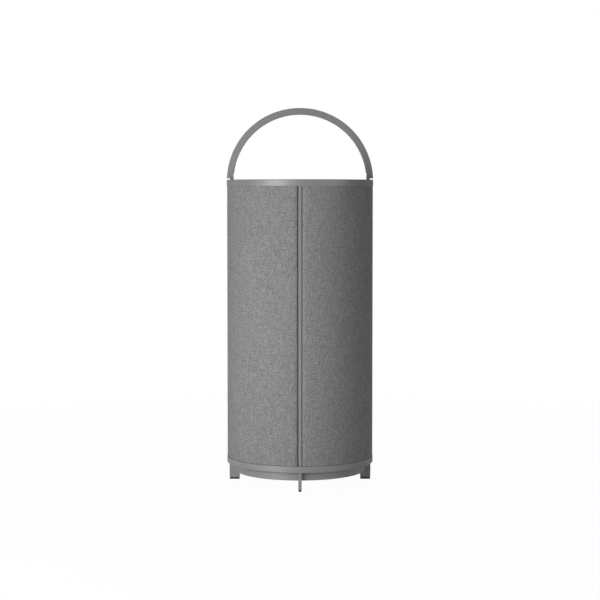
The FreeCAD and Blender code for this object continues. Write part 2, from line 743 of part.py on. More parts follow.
def make_woofer():
    """The woofer faces up in the cabinet's top. Returns the screws of its flange."""
    level = speaker_levels("woofer", CABINET_HIGH)
    frame = speaker_frame("woofer", level)
    windows = []
    for step in range(6):
        angle = 60 * step + 30
        low = f"({level['back']} + 4 * woofer_wall)"
        tall = "(woofer_depth / 2)"
        windows.append(radial_box(WOOFER_MOUTH, "woofer_base / 2", tall, "woofer_base / 2", low, angle))
    holes = ring_of_rods(
        "(screw_radius + seat_gap)",
        "woofer_flange + 2 * overrun",
        WOOFER_SCREW_CIRCLE,
        f"{CABINET_HIGH} - overrun",
        DIAGONALS,
    )
    keep(cut(frame, windows + holes), "woofer_frame")
    keep(speaker_magnet("woofer", level), "woofer_magnet")
    keep(speaker_cone("woofer", level), "woofer_cone")
    keep(speaker_coil("woofer", level), "woofer_coil")
    keep(speaker_surround("woofer", level), "woofer_surround")
    spider_low = f"({level['back']} + 3 * woofer_wall)"
    slope = f"(({WOOFER_MOUTH} - woofer_base + woofer_wall) / (woofer_depth - 4 * woofer_wall))"
    spider_outer = f"(woofer_base - woofer_wall + 2 * woofer_wall * {slope} - soft_gap)"
    spider_inner = f"{level['coil_outer']} + soft_gap"
    spider_high = f"{spider_low} + woofer_roll_wall"
    keep(turned(tube_outline(spider_outer, spider_inner, spider_low, spider_high)), "woofer_spider")
    screws = []
    for angle in DIAGONALS:
        at = around(WOOFER_SCREW_CIRCLE, angle)
        flange_high = f"{CABINET_HIGH} + woofer_flange"
        head = cylinder("screw_head", "screw_radius", (*at, flange_high))
        shank = cylinder("screw_radius", "woofer_flange", (*at, CABINET_HIGH))
        screws.append(fuse([head, shank]))
    return screws


def make_diffuser():
    """A shallow point-down disc that spreads the woofer's sound, on four posts."""
    reach = f"({CABINET_RADIUS} - cabinet_wall)"
    tip = f"({HEAD_LOW} - diffuser_depth)"
    rim_low = f"({HEAD_LOW} - lid_thickness)"
    point = turned(
        [
            ("0", tip),
            ("woofer_coil_radius", f"{tip} + diffuser_depth / 4"),
            (f"{reach} * 3 / 4", rim_low),
            (reach, rim_low),
            (reach, HEAD_LOW),
            ("0", HEAD_LOW),
        ]
    )
    tall = f"({HEAD_LOW} - lid_thickness / 2 - {CABINET_HIGH})"
    posts = ring_of_rods("post_radius", tall, f"({CABINET_RADIUS} - post_inset)", CABINET_HIGH, QUARTERS)
    keep(fuse([point] + posts), "sound_diffuser")


def make_head():
    """A square head turned by 45 degrees, with cut corners and a driver in each side."""
    inner_half = f"({HEAD_HALF} - head_wall)"

    def eight_sided(half, short):
        return [
            (half, f"{short} * -1"),
            (half, short),
            (short, half),
            (f"{short} * -1", half),
            (f"{half} * -1", short),
            (f"{half} * -1", f"{short} * -1"),
            (f"{short} * -1", f"{half} * -1"),
            (short, f"{half} * -1"),
        ]

    short = f"({HEAD_HALF} - head_chamfer)"
    shell = padded("XY_Plane", eight_sided(HEAD_HALF, short), HEAD_LOW, "head_height")
    inside = eight_sided(inner_half, f"({short} - head_wall / 2)")
    cutters = [padded("XY_Plane", inside, f"{HEAD_LOW} + head_wall", "head_height")]
    mouth = "(driver_mouth + driver_wall + soft_gap)"
    for angle in QUARTERS:
        along = turned_about(angle).multiply(UP_TO_X)
        cutters.append(cylinder(mouth, f"{HEAD_HALF} + overrun", ("0", "0", HEAD_MIDDLE), along))
    head = cut(shell, cutters)
    head.Placement = FreeCAD.Placement(Vector(), turned_about(45))
    keep(head, "driver_head")
    lid = padded("XY_Plane", eight_sided(HEAD_HALF, short), HEAD_HIGH, "lid_thickness")
    lid.Placement = FreeCAD.Placement(Vector(), turned_about(45))
    keep(lid, "head_lid")


def make_drivers():
    """Four equal drivers, each modelled facing +Z from the axis and then laid outwards."""
    level = speaker_levels("driver", HEAD_HALF)
    frames = []
    surrounds = []
    sides = ("back_right", "back_left", "front_left", "front_right")

    def lay_out(item, angle):
        turn = turned_about(angle).multiply(UP_TO_X)
        place(item, ("0", "0", HEAD_MIDDLE), turn)
        return item

    for angle, side in zip(DIAGONALS, sides):
        still = fuse([speaker_frame("driver", level), speaker_magnet("driver", level)])
        frames.append(lay_out(still, angle))
        surrounds.append(lay_out(speaker_surround("driver", level), angle))
        moving = fuse([speaker_cone("driver", level), speaker_coil("driver", level)])
        keep(lay_out(moving, angle), f"{side}_driver_cone")
    keep(group(frames), "driver_frames")
    keep(group(surrounds), "driver_surrounds")


def pocket(body, sketch, direction_up):
    """Cut the sketch's outline through all of the body that lies above its plane."""
    before = body.Tip
    hole = body.newObject("PartDesign::Pocket", "pocket")
    hole.Profile = sketch
    hole.Type = "ThroughAll"
    hole.Reversed = direction_up
    doc.recompute()
    if hole.Shape.Volume >= before.Shape.Volume:
        raise RuntimeError(f"a pocket in {body.Name} cut nothing")


def sector_sketch(body):
    """The quarter sector inside the carrier's outer face, clear of the sleeve's edges."""
    sketch = body.newObject("Sketcher::SketchObject", "sector")
    plane = [item for item in body.Origin.OriginFeatures if item.Role == "XY_Plane"][0]
    sketch.AttachmentSupport = [(plane, "")]
    sketch.MapMode = "FlatFace"
    edge = value(CARRIER_EDGE)
    radius = value(CARRIER_OUTER)
    reach = (radius**2 - edge**2) ** 0.5
    corner = Vector(edge, edge, 0)
    right = Vector(reach, edge, 0)
    back = Vector(edge, reach, 0)
    circle = Part.Circle(Vector(), Vector(0, 0, 1), radius)
    sketch.addGeometry(Part.LineSegment(corner, right))
    sketch.addGeometry(Part.ArcOfCircle(circle, *arc_span(right, back)))
    sketch.addGeometry(Part.LineSegment(back, corner))
    for first, first_end, second, second_end in ((0, 2, 1, 1), (1, 2, 2, 1), (2, 2, 0, 1), (1, 3, -1, 1)):
        sketch.addConstraint(Sketcher.Constraint("Coincident", first, first_end, second, second_end))
    sketch.addConstraint(Sketcher.Constraint("Horizontal", 0))
    sketch.addConstraint(Sketcher.Constraint("Vertical", 2))
    number = sketch.addConstraint(Sketcher.Constraint("Radius", 1, radius))
    bind(sketch, f"Constraints[{number}]", CARRIER_OUTER)
    for kind in ("DistanceX", "DistanceY"):
        number = sketch.addConstraint(Sketcher.Constraint(kind, -1, 1, 0, 1, edge))
        bind(sketch, f"Constraints[{number}]", CARRIER_EDGE)
    return sketch


def arc_span(first, second):
    """The angles in radians, from +X, of an arc's two ends."""
    return math.atan2(first.y, first.x), math.atan2(second.y, second.x)


def fabric_sleeve():
    """Cover of one quarter: an outer skin that turns in along both upright edges of its carrier."""
    body = turned(tube_outline(FABRIC_OUTER, CARRIER_INNER, PANEL_LOW, PANEL_HIGH))
    reach = "(body_radius + overrun)"
    back = f"({reach} * -1)"
    others = [
        (PANEL_EDGE, PANEL_EDGE),
        (PANEL_EDGE, reach),
        (back, reach),
        (back, back),
        (reach, back),
        (reach, PANEL_EDGE),
    ]
    pocket(body, sketch_on(body, "XY_Plane", others), True)
    pocket(body, sector_sketch(body), True)
    skin_radius = value(FABRIC_OUTER) - value("fabric_thickness")

    def outer_upright(edge):
        first, last = edge.Vertexes[0].Point, edge.Vertexes[-1].Point
        upright = abs(first.z - last.z) > value("fabric_edge_round")
        return upright and (first.x**2 + first.y**2) ** 0.5 > skin_radius + value("seat_gap")

    return round_edges(body, outer_upright, "fabric_edge_round")


def make_panels():
    """Four quarter-round panels, each a windowed carrier in a fabric sleeve."""
    tall = f"({PANEL_HIGH} - {PANEL_LOW})"
    reach = "(body_radius + overrun)"
    rows = 5
    columns = (22, 45, 68)
    sides = ("back_right", "back_left", "front_left", "front_right")
    carriers = []
    for angle, side in zip(QUARTERS, sides):
        hoop = turned(tube_outline(CARRIER_OUTER, CARRIER_INNER, PANEL_LOW, PANEL_HIGH))
        corner = box(reach, reach, tall, (CARRIER_EDGE, CARRIER_EDGE, PANEL_LOW))
        windows = []
        window_tall = f"(({tall} - window_rib) / {rows} - window_rib)"
        for step in range(rows):
            low = f"({PANEL_LOW} + window_rib + {step} * ({window_tall} + window_rib))"
            for column in columns:
                inner = f"({CARRIER_INNER} - 2 * overrun)"
                deep = "(carrier_thickness + 4 * overrun)"
                windows.append(radial_box(deep, "window_width", window_tall, inner, low, column))
        carrier = cut(common(hoop, corner), windows)
        carrier.Placement = FreeCAD.Placement(Vector(), turned_about(angle))
        carriers.append(carrier)
        skin = fabric_sleeve()
        skin.Placement = FreeCAD.Placement(Vector(), turned_about(angle))
        keep(skin, f"{side}_fabric")
    keep(group(carriers), "panel_carriers")


def make_top():
    """The dished top frame inside the ring, the gasket and the flat top plate."""
    rim = BLADE_OUTER
    well_outer = "(well_radius + well_wall)"
    frame = turned(
        [
            ("0", WELL_LOW),
            (well_outer, WELL_LOW),
            (well_outer, TOP_LOW),
            (rim, TOP_LOW),
            (rim, FRAME_HIGH),
            ("well_radius", FRAME_HIGH),
            ("well_radius", f"{WELL_LOW} + well_floor"),
            ("0", f"{WELL_LOW} + well_floor"),
        ]
    )
    keep(cut(frame, lug_openings(TOP_LOW, FRAME_HIGH)), "top_frame")
    gasket = turned(tube_outline(rim, f"{rim} - gasket_width", FRAME_HIGH, TOP_PLATE_LOW))
    keep(cut(gasket, lug_openings(FRAME_HIGH, TOP_PLATE_LOW)), "top_gasket")
    plate_inner = f"({LIGHT_RADIUS} + seat_gap)"
    plate = turned(tube_outline(rim, plate_inner, TOP_PLATE_LOW, TOP_PLATE_HIGH))
    drilled = "plate_thickness + 2 * overrun"
    drill_low = f"{TOP_PLATE_LOW} - overrun"
    holes = ring_of_rods("microphone_radius", drilled, MICROPHONE_CIRCLE, drill_low, DIAGONALS)
    keep(cut(plate, lug_openings(TOP_PLATE_LOW, TOP_PLATE_HIGH) + holes), "top_plate")
    mesh_low = f"{TOP_PLATE_LOW} - mesh_thickness"
    meshes = ring_of_rods("mesh_radius", "mesh_thickness", MICROPHONE_CIRCLE, mesh_low, DIAGONALS)
    keep(group(meshes), "microphone_meshes")


def lug_openings(low, high):
    """Cutters for the necks of the two handle lugs in a round plate."""
    reach = f"({LUG_OUTER} - {LUG_INNER} + 2 * soft_gap)"
    across = "(handle_depth + 2 * soft_gap)"
    tall = f"({high} - {low} + 2 * overrun)"
    inner = f"({LUG_INNER} - soft_gap)"
    return [radial_box(reach, across, tall, inner, f"{low} - overrun", angle) for angle in (0, 180)]


def make_controls():
    board_reach = "(well_radius - soft_gap)"
    keep(disc(board_reach, BOARD_LOW, BOARD_HIGH), "control_board")
    mat_reach = f"({DISC_RADIUS} - disc_skirt - soft_gap)"
    keep(disc(mat_reach, BOARD_HIGH, MAT_HIGH), "button_mat")
    light = turned(tube_outline(LIGHT_RADIUS, LIGHT_INNER, BOARD_HIGH, TOP_PLATE_HIGH))
    keep(light, "light_ring")
    skirt_inner = f"({DISC_RADIUS} - disc_skirt)"
    cap = turned(
        [
            (skirt_inner, BOARD_HIGH),
            (DISC_RADIUS, BOARD_HIGH),
            (DISC_RADIUS, TOP_PLATE_HIGH),
            ("0", TOP_PLATE_HIGH),
            ("0", TOP_PLATE_LOW),
            (skirt_inner, TOP_PLATE_LOW),
        ]
    )
    layout = [("play_button", PLAY_RADIUS, "0", 0)]
    for name, angle in (
        ("volume_up_button", 0),
        ("microphone_button", 90),
        ("volume_down_button", 180),
        ("power_button", 270),
    ):
        layout.append((name, BUTTON_RADIUS, BUTTON_CIRCLE, angle))
    holes = []
    rim_high = f"({TOP_PLATE_LOW} - button_gap)"
    rim_low = f"({rim_high} - button_rim_height)"
    button_low = f"({MAT_HIGH} + button_travel + button_gap)"
    cap_high = f"({TOP_PLATE_HIGH} + button_proud)"
    for name, radius, circle, angle in layout:
        x, y = around(circle, angle)
        at = (x, y, f"{TOP_PLATE_LOW} - overrun")
        holes.append(cylinder(f"({radius} + button_gap)", "plate_thickness + 2 * overrun", at))
        wide = f"({radius} + button_rim)"
        button = turned(
            [
                ("0", button_low),
                (f"{radius} / 2", button_low),
                (f"{radius} / 2", rim_low),
                (wide, rim_low),
                (wide, rim_high),
                (radius, rim_high),
                (radius, cap_high),
                ("0", cap_high),
            ]
        )
        round_edges(button, hoop_at(radius, cap_high), "button_edge_round")
        place(button, (x, y, "0"))
        keep(button, name)
    keep(cut(cap, holes), "control_disc")


def half_hoop():
    """The flat bar of the handle before its legs are cut, a full hoop trimmed at its legs' ends."""
    body = doc.addObject("PartDesign::Body", "hoop")
    sketch = body.newObject("Sketcher::SketchObject", "hoop_outline")
    plane = [item for item in body.Origin.OriginFeatures if item.Role == "XZ_Plane"][0]
    sketch.AttachmentSupport = [(plane, "")]
    sketch.MapMode = "FlatFace"
    centre = Vector(0, value(HANDLE_CENTRE), 0)
    for index, radius in enumerate(("body_radius", HANDLE_INNER)):
        sketch.addGeometry(Part.Circle(centre, Vector(0, 0, 1), value(radius)))
        number = sketch.addConstraint(Sketcher.Constraint("Radius", index, value(radius)))
        bind(sketch, f"Constraints[{number}]", radius)
        sketch.addConstraint(Sketcher.Constraint("DistanceX", -1, 1, index, 3, 0.0))
        number = sketch.addConstraint(Sketcher.Constraint("DistanceY", -1, 1, index, 3, centre.y))
        bind(sketch, f"Constraints[{number}]", HANDLE_CENTRE)
    pad = body.newObject("PartDesign::Pad", "pad")
    pad.Profile = sketch
    pad.SideType = "Symmetric"
    bind(pad, "Length", "handle_depth")
    return round_edges(body, lambda edge: isinstance(edge.Curve, Part.Circle), "handle_edge_round")


def make_handle():
    """The bail: its legs' outer halves end just above the ring, their inner halves just above the lugs."""
    wide = "(2 * body_radius + 2 * overrun)"
    low = f"({HANDLE_CENTRE} - body_radius - overrun)"
    below = box(
        wide,
        "handle_depth + 2 * overrun",
        f"{LEG_LOW} - {low}",
        ("body_radius * -1 - overrun", "handle_depth / -2 - overrun", low),
    )
    cutters = [below]
    lug_reach = f"({LAP_PLANE} - {HANDLE_INNER} + handle_width)"
    hollow_tall = f"({LUG_HIGH} + lug_gap - {LEG_LOW} + overrun)"
    bore_radius = "(pin_radius + seat_gap / 2)"
    bore_end = "(body_radius - pin_end_wall)"
    for side in (-1, 1):
        hollow_start = f"({HANDLE_INNER} - handle_width)" if side > 0 else f"({LAP_PLANE} * -1)"
        corner = (hollow_start, "handle_depth * -1", f"{LEG_LOW} - overrun")
        cutters.append(box(lug_reach, "2 * handle_depth", hollow_tall, corner))
        bore_start = f"({LUG_OUTER})" if side > 0 else f"({bore_end} * -1)"
        at = (bore_start, "0", PIVOT_HIGH)
        cutters.append(cylinder(bore_radius, f"{bore_end} - {LUG_OUTER}", at, UP_TO_X))
    keep(cut(half_hoop(), cutters), "handle")


def make_hinges():
    """Each lug is a neck through the top on a forked foot that straddles its blade.

    Its eye is round to the back, where the handle folds, and square in front, where it stops the handle.
    """
    foot_low = f"({TOP_LOW} - lug_foot_height)"
    foot_inner = f"({LUG_OUTER} - lug_foot_depth)"
    lugs = []
    pins = []
    washers = []
    bolts = []
    lug_thickness = f"({LUG_OUTER} - {LUG_INNER})"
    washer_thickness = "(lap_gap - seat_gap)"
    bore_radius = "(pin_radius + seat_gap / 2)"
    pin_length = f"body_radius - pin_end_wall - soft_gap - {LUG_INNER}"
    for angle in (0, 180):
        along = turned_about(angle).multiply(UP_TO_X)
        lug_start = (*around(LUG_INNER, angle), PIVOT_HIGH)
        drill_start = (*around(f"({LUG_INNER} - overrun)", angle), PIVOT_HIGH)
        lap_start = (*around(LUG_OUTER, angle), PIVOT_HIGH)
        neck_tall = f"{PIVOT_HIGH} - {TOP_LOW}"
        neck = radial_box(lug_thickness, "handle_depth", neck_tall, LUG_INNER, TOP_LOW, angle)
        eye = cylinder("handle_depth / 2", lug_thickness, lug_start, along)
        stop_start = LUG_INNER if angle == 0 else f"({LUG_OUTER} * -1)"
        stop_at = (stop_start, "handle_depth / -2", PIVOT_HIGH)
        stop = box(lug_thickness, "handle_depth / 2", "handle_depth / 2", stop_at)
        foot = radial_box("lug_foot_depth", "lug_foot_width", "lug_foot_height", foot_inner, foot_low, angle)
        slot_reach = "lug_foot_depth + 2 * overrun"
        slot_tall = "lug_foot_height + overrun"
        slot_inner = f"({foot_inner} - overrun)"
        slot = radial_box(slot_reach, NOTCH_WIDTH, slot_tall, slot_inner, f"{foot_low} - overrun", angle)
        pin_hole = cylinder("pin_radius", f"{lug_thickness} + 2 * overrun", drill_start, along)
        bolt_x = around(LUG_BOLT_CIRCLE, angle)[0]
        hole_start = (bolt_x, "lug_foot_width * -1", LUG_BOLT_HIGH)
        hole = cylinder("(lug_bolt_radius + seat_gap)", "2 * lug_foot_width", hole_start, UP_TO_Y)
        lugs.append(cut(fuse([neck, eye, stop, foot]), [slot, pin_hole, hole]))
        pins.append(cylinder("pin_radius", pin_length, lug_start, along))
        washer = cylinder("washer_radius", washer_thickness, lap_start, along)
        inside = cylinder(bore_radius, f"{lug_thickness} + 2 * overrun", drill_start, along)
        washers.append(cut(washer, [inside]))
        bolt_start = (bolt_x, "lug_foot_width / -2", LUG_BOLT_HIGH)
        bolts.append(cylinder("lug_bolt_radius", "lug_foot_width", bolt_start, UP_TO_Y))
    keep(group(lugs), "handle_lugs")
    keep(group(pins), "hinge_pins")
    keep(group(washers), "friction_washers")
    keep(group(bolts), "lug_bolts")


def make_loom():
    """The lead bundle from the bay up to the controls, straight runs joined by tangent arcs."""
    bend = value("loom_bend")
    low = value(LOOM_LOW)
    high = value(LOOM_HIGH)
    circle = value(LOOM_CIRCLE)
    route = [
        Vector(value(f"{CABINET_RADIUS} - loom_reach"), 0, low),
        Vector(circle, 0, low),
        Vector(circle, 0, high),
        Vector(value("loom_end"), 0, high),
        Vector(value("loom_end"), 0, value(WELL_LOW)),
    ]
    edges = []
    start = route[0]
    for before, corner, after in zip(route, route[1:], route[2:]):
        entry = corner + (before - corner).normalize() * bend
        leave = corner + (after - corner).normalize() * bend
        centre = entry + leave - corner
        middle = centre + (corner - centre).normalize() * bend
        edges.append(Part.LineSegment(start, entry).toShape())
        edges.append(Part.Arc(entry, middle, leave).toShape())
        start = leave
    edges.append(Part.LineSegment(start, route[-1]).toShape())
    path = Part.Wire(edges)
    ring = Part.Circle(route[0], Vector(1, 0, 0), value("loom_radius")).toShape()
    tube = path.makePipeShell([Part.Wire([ring])], True, False)
    loom = doc.addObject("Part::Feature", "loom")
    loom.Shape = tube
    loom.Placement = FreeCAD.Placement(Vector(), turned_about(LOOM_ANGLE))
    keep(loom, "wiring_loom")


make_rings()
make_blades()
screws = make_plinth()
make_battery()
make_socket()
make_electronics()
make_cabinet()
screws += make_woofer()
keep(group(screws), "case_screws")
make_diffuser()
make_head()
make_drivers()
make_panels()
make_top()
make_controls()
make_handle()
make_hinges()
make_loom()
doc.recompute()

for item in doc.Objects:
    if "Invalid" in item.State or "Error" in item.State:
        raise RuntimeError(f"{item.Name} ({item.Label}) failed: {item.State}")
for item in nodes:
    if item.Shape.isNull() or not item.Shape.isValid():
        raise RuntimeError(f"{item.Label} has no valid shape")

os.makedirs("parts", exist_ok=True)
for item in nodes:
    item.Shape.exportStep(f"parts/{item.Label}.step")
print(len(nodes), "sub-parts written")
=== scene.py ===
import json
import math

import bpy
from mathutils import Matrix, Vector


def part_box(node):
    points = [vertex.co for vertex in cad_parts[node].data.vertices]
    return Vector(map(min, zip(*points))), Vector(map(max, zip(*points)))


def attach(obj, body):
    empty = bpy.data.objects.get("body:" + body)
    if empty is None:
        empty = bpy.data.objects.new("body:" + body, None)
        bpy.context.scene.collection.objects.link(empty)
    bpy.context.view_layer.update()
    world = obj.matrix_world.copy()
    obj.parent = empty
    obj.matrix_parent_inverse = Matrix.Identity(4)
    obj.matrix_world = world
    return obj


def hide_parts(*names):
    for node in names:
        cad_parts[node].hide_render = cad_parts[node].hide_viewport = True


# Drum speaker with fabric panels and a bail handle. Metres; the front faces -Y and +Z is up.
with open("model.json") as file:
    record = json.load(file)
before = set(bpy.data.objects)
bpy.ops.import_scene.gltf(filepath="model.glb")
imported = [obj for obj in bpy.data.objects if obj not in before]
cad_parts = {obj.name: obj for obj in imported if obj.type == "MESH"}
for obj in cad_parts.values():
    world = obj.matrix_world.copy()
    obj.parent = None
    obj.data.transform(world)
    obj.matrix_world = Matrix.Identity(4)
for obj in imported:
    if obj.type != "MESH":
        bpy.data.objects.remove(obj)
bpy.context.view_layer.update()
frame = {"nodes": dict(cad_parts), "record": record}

UP = Vector((0, 0, 1))


# Shader nodes


def add(tree, kind, inputs=(), output=0, **settings):
    """Add a node, set or link its inputs by name or number, and return one of its outputs."""
    made = tree.nodes.new(kind)
    for key, value in settings.items():
        setattr(made, key, value)
    pairs = inputs.items() if isinstance(inputs, dict) else enumerate(inputs)
    for key, value in pairs:
        if isinstance(value, bpy.types.NodeSocket):
            tree.links.new(value, made.inputs[key])
        else:
            made.inputs[key].default_value = value
    return made.outputs[output]


def calculate(tree, operation, *values):
    """One step of arithmetic on numbers or sockets."""
    return add(tree, "ShaderNodeMath", values, operation=operation)


def mix(tree, share, first, second):
    """The first value where the share is 0 and the second where it is 1."""
    return add(tree, "ShaderNodeMix", {"Factor": share, 2: first, 3: second})


def map_range(tree, value, before, after):
    """Carry a value from one range over to another, and stop it at the ends."""
    return add(tree, "ShaderNodeMapRange", [value, *before, *after])


# Camera, light and floor

# Fitted to the outline in the photo; lens and sensor in millimetres, the dip in radians
LENS_LENGTH = 94.07
SENSOR_WIDTH = 36
LENS_SHIFT = -0.05
CAMERA_PLACE = (0.00005, -2.68343, 0.49162)
CAMERA_DIP = 0.04893

# Share of the surroundings that mirror rays see, and the brightness that scattered light sees
WORLD_MIRRORED = 0.4
WORLD_SCATTERED = 0.02
BRIGHT_SIDE = (-0.5, 0.8, 0.3)
SIDE_REACH = (-0.9, 0.9)
SIDE_BRIGHTNESS = (0.25, 1.0)

FLOOR_RADIUS = 9
FLOOR_GREY = (0.82, 0.82, 0.82, 1)
FADE_REACH = (0.3, 1.4)
FADE_BRIGHTNESS = (0.975, 1.0)
# Mirrored share from left to right
FLOOR_SIDES = (-0.2, 0.2)
FLOOR_MIRRORED = (0.5, 0.2)

LAMP_TARGET = Vector((0, 0, 0.29))
# Name, azimuth and elevation in degrees, distance, width and height, and power in watts
SOFTBOXES = (
    ("near_key", -36, -4, 1.1, (0.6, 0.6), 5.3),
    ("wide_key", -38, 8, 2.4, (1.3, 1.9), 19.6),
    ("fill", 42, 8, 2.6, (1.2, 1.8), 6.9),
    ("edge", 62, 6, 2.6, (0.4, 1.4), 4),
    ("back", 180, 14, 2.6, (0.9, 1.8), 14),
    ("overhead", 180, 62, 2.6, (1.2, 0.9), 14),
)


def add_camera():
    """The photo's view, from the front and a little above."""
    lens = bpy.data.cameras.new("camera")
    lens.lens = LENS_LENGTH
    lens.sensor_width = SENSOR_WIDTH
    lens.shift_y = LENS_SHIFT
    camera = bpy.data.objects.new("camera", lens)
    camera.location = CAMERA_PLACE
    camera.rotation_euler = (math.pi / 2 - CAMERA_DIP, 0, 0)
    bpy.context.collection.objects.link(camera)
    bpy.context.scene.camera = camera


def add_softbox(name, azimuth, elevation, distance, size, power):
    """An area lamp turned to the speaker; azimuth is counted from the front towards the right."""
    turn, lift = math.radians(azimuth), math.radians(elevation)
    lamp = bpy.data.lights.new(name, "AREA")
    lamp.shape = "RECTANGLE"
    lamp.size, lamp.size_y = size
    lamp.energy = power
    item = bpy.data.objects.new(name, lamp)
    away = Vector((math.sin(turn) * math.cos(lift), -math.cos(turn) * math.cos(lift), math.sin(lift)))
    item.location = LAMP_TARGET + away * distance
    item.rotation_euler = (LAMP_TARGET - item.location).to_track_quat("-Z", "Y").to_euler()
    bpy.context.collection.objects.link(item)


def seen_directly(tree, mirror_share):
    """1 for rays from the camera and through glass, less for mirror rays, 0 for scattered light."""
    path = tree.nodes.new("ShaderNodeLightPath").outputs
    mirrored = calculate(tree, "MULTIPLY", path["Is Glossy Ray"], mirror_share)
    total = calculate(tree, "ADD", path["Is Camera Ray"], mirrored)
    both = add(tree, "ShaderNodeMath", [total, path["Is Transmission Ray"]], use_clamp=True)
    return both, path["Is Camera Ray"]


def add_world():
    """White where the camera looks, a dimmer room to the right in reflections, and weak even light."""
    world = bpy.data.worlds.new("studio")
    world.use_nodes = True
    tree = world.node_tree
    direct, camera = seen_directly(tree, WORLD_MIRRORED)
    heading = tree.nodes.new("ShaderNodeTexCoord").outputs["Generated"]
    towards = add(
        tree, "ShaderNodeVectorMath", [heading, BRIGHT_SIDE], operation="DOT_PRODUCT", output="Value"
    )
    room = map_range(tree, towards, SIDE_REACH, SIDE_BRIGHTNESS)
    reflected = mix(tree, camera, room, 1.0)
    strength = mix(tree, direct, WORLD_SCATTERED, reflected)
    background = tree.nodes["Background"]
    background.inputs["Color"].default_value = (1, 1, 1, 1)
    tree.links.new(strength, background.inputs["Strength"])
    bpy.context.scene.world = world


def add_floor():
    """A pale round floor that keeps a faint shadow and fades into the background."""
    bpy.ops.mesh.primitive_circle_add(vertices=96, radius=FLOOR_RADIUS, fill_type="NGON")
    floor = bpy.context.object
    floor.name = "floor"
    material = bpy.data.materials.new("pale_floor")
    material.use_nodes = True
    tree = material.node_tree
    tree.nodes.clear()
    matt = add(tree, "ShaderNodeBsdfDiffuse", {"Color": FLOOR_GREY})
    white = add(tree, "ShaderNodeEmission", {"Strength": 1.0})
    place = tree.nodes.new("ShaderNodeTexCoord").outputs["Object"]
    reach = add(tree, "ShaderNodeVectorMath", [place], operation="LENGTH", output="Value")
    fade = map_range(tree, reach, FADE_REACH, FADE_BRIGHTNESS)
    side = add(tree, "ShaderNodeSeparateXYZ", [place])
    mirrored = map_range(tree, side, FLOOR_SIDES, FLOOR_MIRRORED)
    direct, _ = seen_directly(tree, mirrored)
    share = calculate(tree, "MULTIPLY", direct, fade)
    mixed = add(tree, "ShaderNodeMixShader", [share, matt, white])
    end = tree.nodes.new("ShaderNodeOutputMaterial")
    tree.links.new(mixed, end.inputs["Surface"])
    floor.data.materials.append(material)


# Materials

# Noise lies mostly between these
NOISE_SPAN = (0.3, 0.7)
PATCH_SHARE = 0.4
WARM = (1.0, 0.978, 0.99)

# Numbers that keep the weave's random tones apart
WARP_BATCH, WEFT_BATCH, CROSSING_BATCH = 0.5, 90.5, 0.25
# A yarn starts at random, up to this many of its lengths along
YARN_SHIFT = 7.0
# How far the weft's tones are evened out, and how much of a tone comes from its crossing's fibres
EVEN_WEFT_SHARE = 0.4
FIBRE_SHARE = 0.55
SLUB_SIZE = 0.0016
SLUB_STRETCH = (1, 2.4, 1)
SLUB_SPAN = (0.62, 0.74)
SLUB_LIGHT = (0.0, 0.08)
# Painted shade of the yarns' roundness: each yarn is painted lighter along its ridge as a painted highlight
# and darker at its sides as painted shade
PAINTED_RIDGE_HIGHLIGHT = 0.45
PAINTED_SIDE_SHADE = -0.29
WEAVE_SPAN = (0.22, 0.78)
WEAVE_TONE_RELIEF = 0.3
WEAVE_BUMP = 0.6


def start_material(name):
    """A new material, its node tree and its shader."""
    material = bpy.data.materials.new(name)
    material.use_nodes = True
    tree = material.node_tree
    return material, tree, tree.nodes["Principled BSDF"]


def set_shader(shader, values):
    """Set the shader's other values, named by its sockets with spaces written as underscores."""
    for socket, value in values.items():
        shader.inputs[socket.replace("_", " ")].default_value = value


def grey(level, tint=(1.0, 1.0, 1.0)):
    """A grey, slightly tinted if wanted."""
    return tuple(level * part for part in tint) + (1.0,)


def two_tone(tree, factor, dark, light, span=NOISE_SPAN):
    """A colour that runs from dark to light as the factor crosses the span."""
    ramp = tree.nodes.new("ShaderNodeValToRGB")
    first, last = ramp.color_ramp.elements
    first.position, first.color = span[0], dark
    last.position, last.color = span[1], light
    tree.links.new(factor, ramp.inputs["Fac"])
    return ramp.outputs["Color"]


def noise(tree, where, size, stretch=(1, 1, 1), detail=2.0):
    """Noise whose features are about size metres across."""
    spread = tuple(1 / (size * part) for part in stretch)
    mapped = add(tree, "ShaderNodeMapping", {"Vector": where, "Scale": spread})
    return add(tree, "ShaderNodeTexNoise", {"Vector": mapped, "Scale": 1.0, "Detail": detail})


def grained(name, dark, light, grain, relief, roughness, stretch=(1, 1, 1), patch=0.05, **fixed):
    """A finish with one fine grain in its colour and surface and slow patches in its roughness."""
    material, tree, shader = start_material(name)
    where = tree.nodes.new("ShaderNodeTexCoord").outputs["Object"]
    fine = noise(tree, where, grain, stretch)
    slow = noise(tree, where, patch, detail=3.0)
    blend = mix(tree, PATCH_SHARE, fine, slow)
    tree.links.new(two_tone(tree, blend, dark, light), shader.inputs["Base Color"])
    tree.links.new(map_range(tree, slow, NOISE_SPAN, roughness), shader.inputs["Roughness"])
    bump = add(tree, "ShaderNodeBump", {"Height": fine, "Distance": relief, "Strength": 1.0})
    tree.links.new(bump, shader.inputs["Normal"])
    set_shader(shader, fixed)
    return material


def random_at(tree, x, y):
    """A random tone for each whole pair of numbers."""
    place = add(tree, "ShaderNodeCombineXYZ", [x, y])
    return add(tree, "ShaderNodeTexWhiteNoise", {"Vector": place}, noise_dimensions="2D")


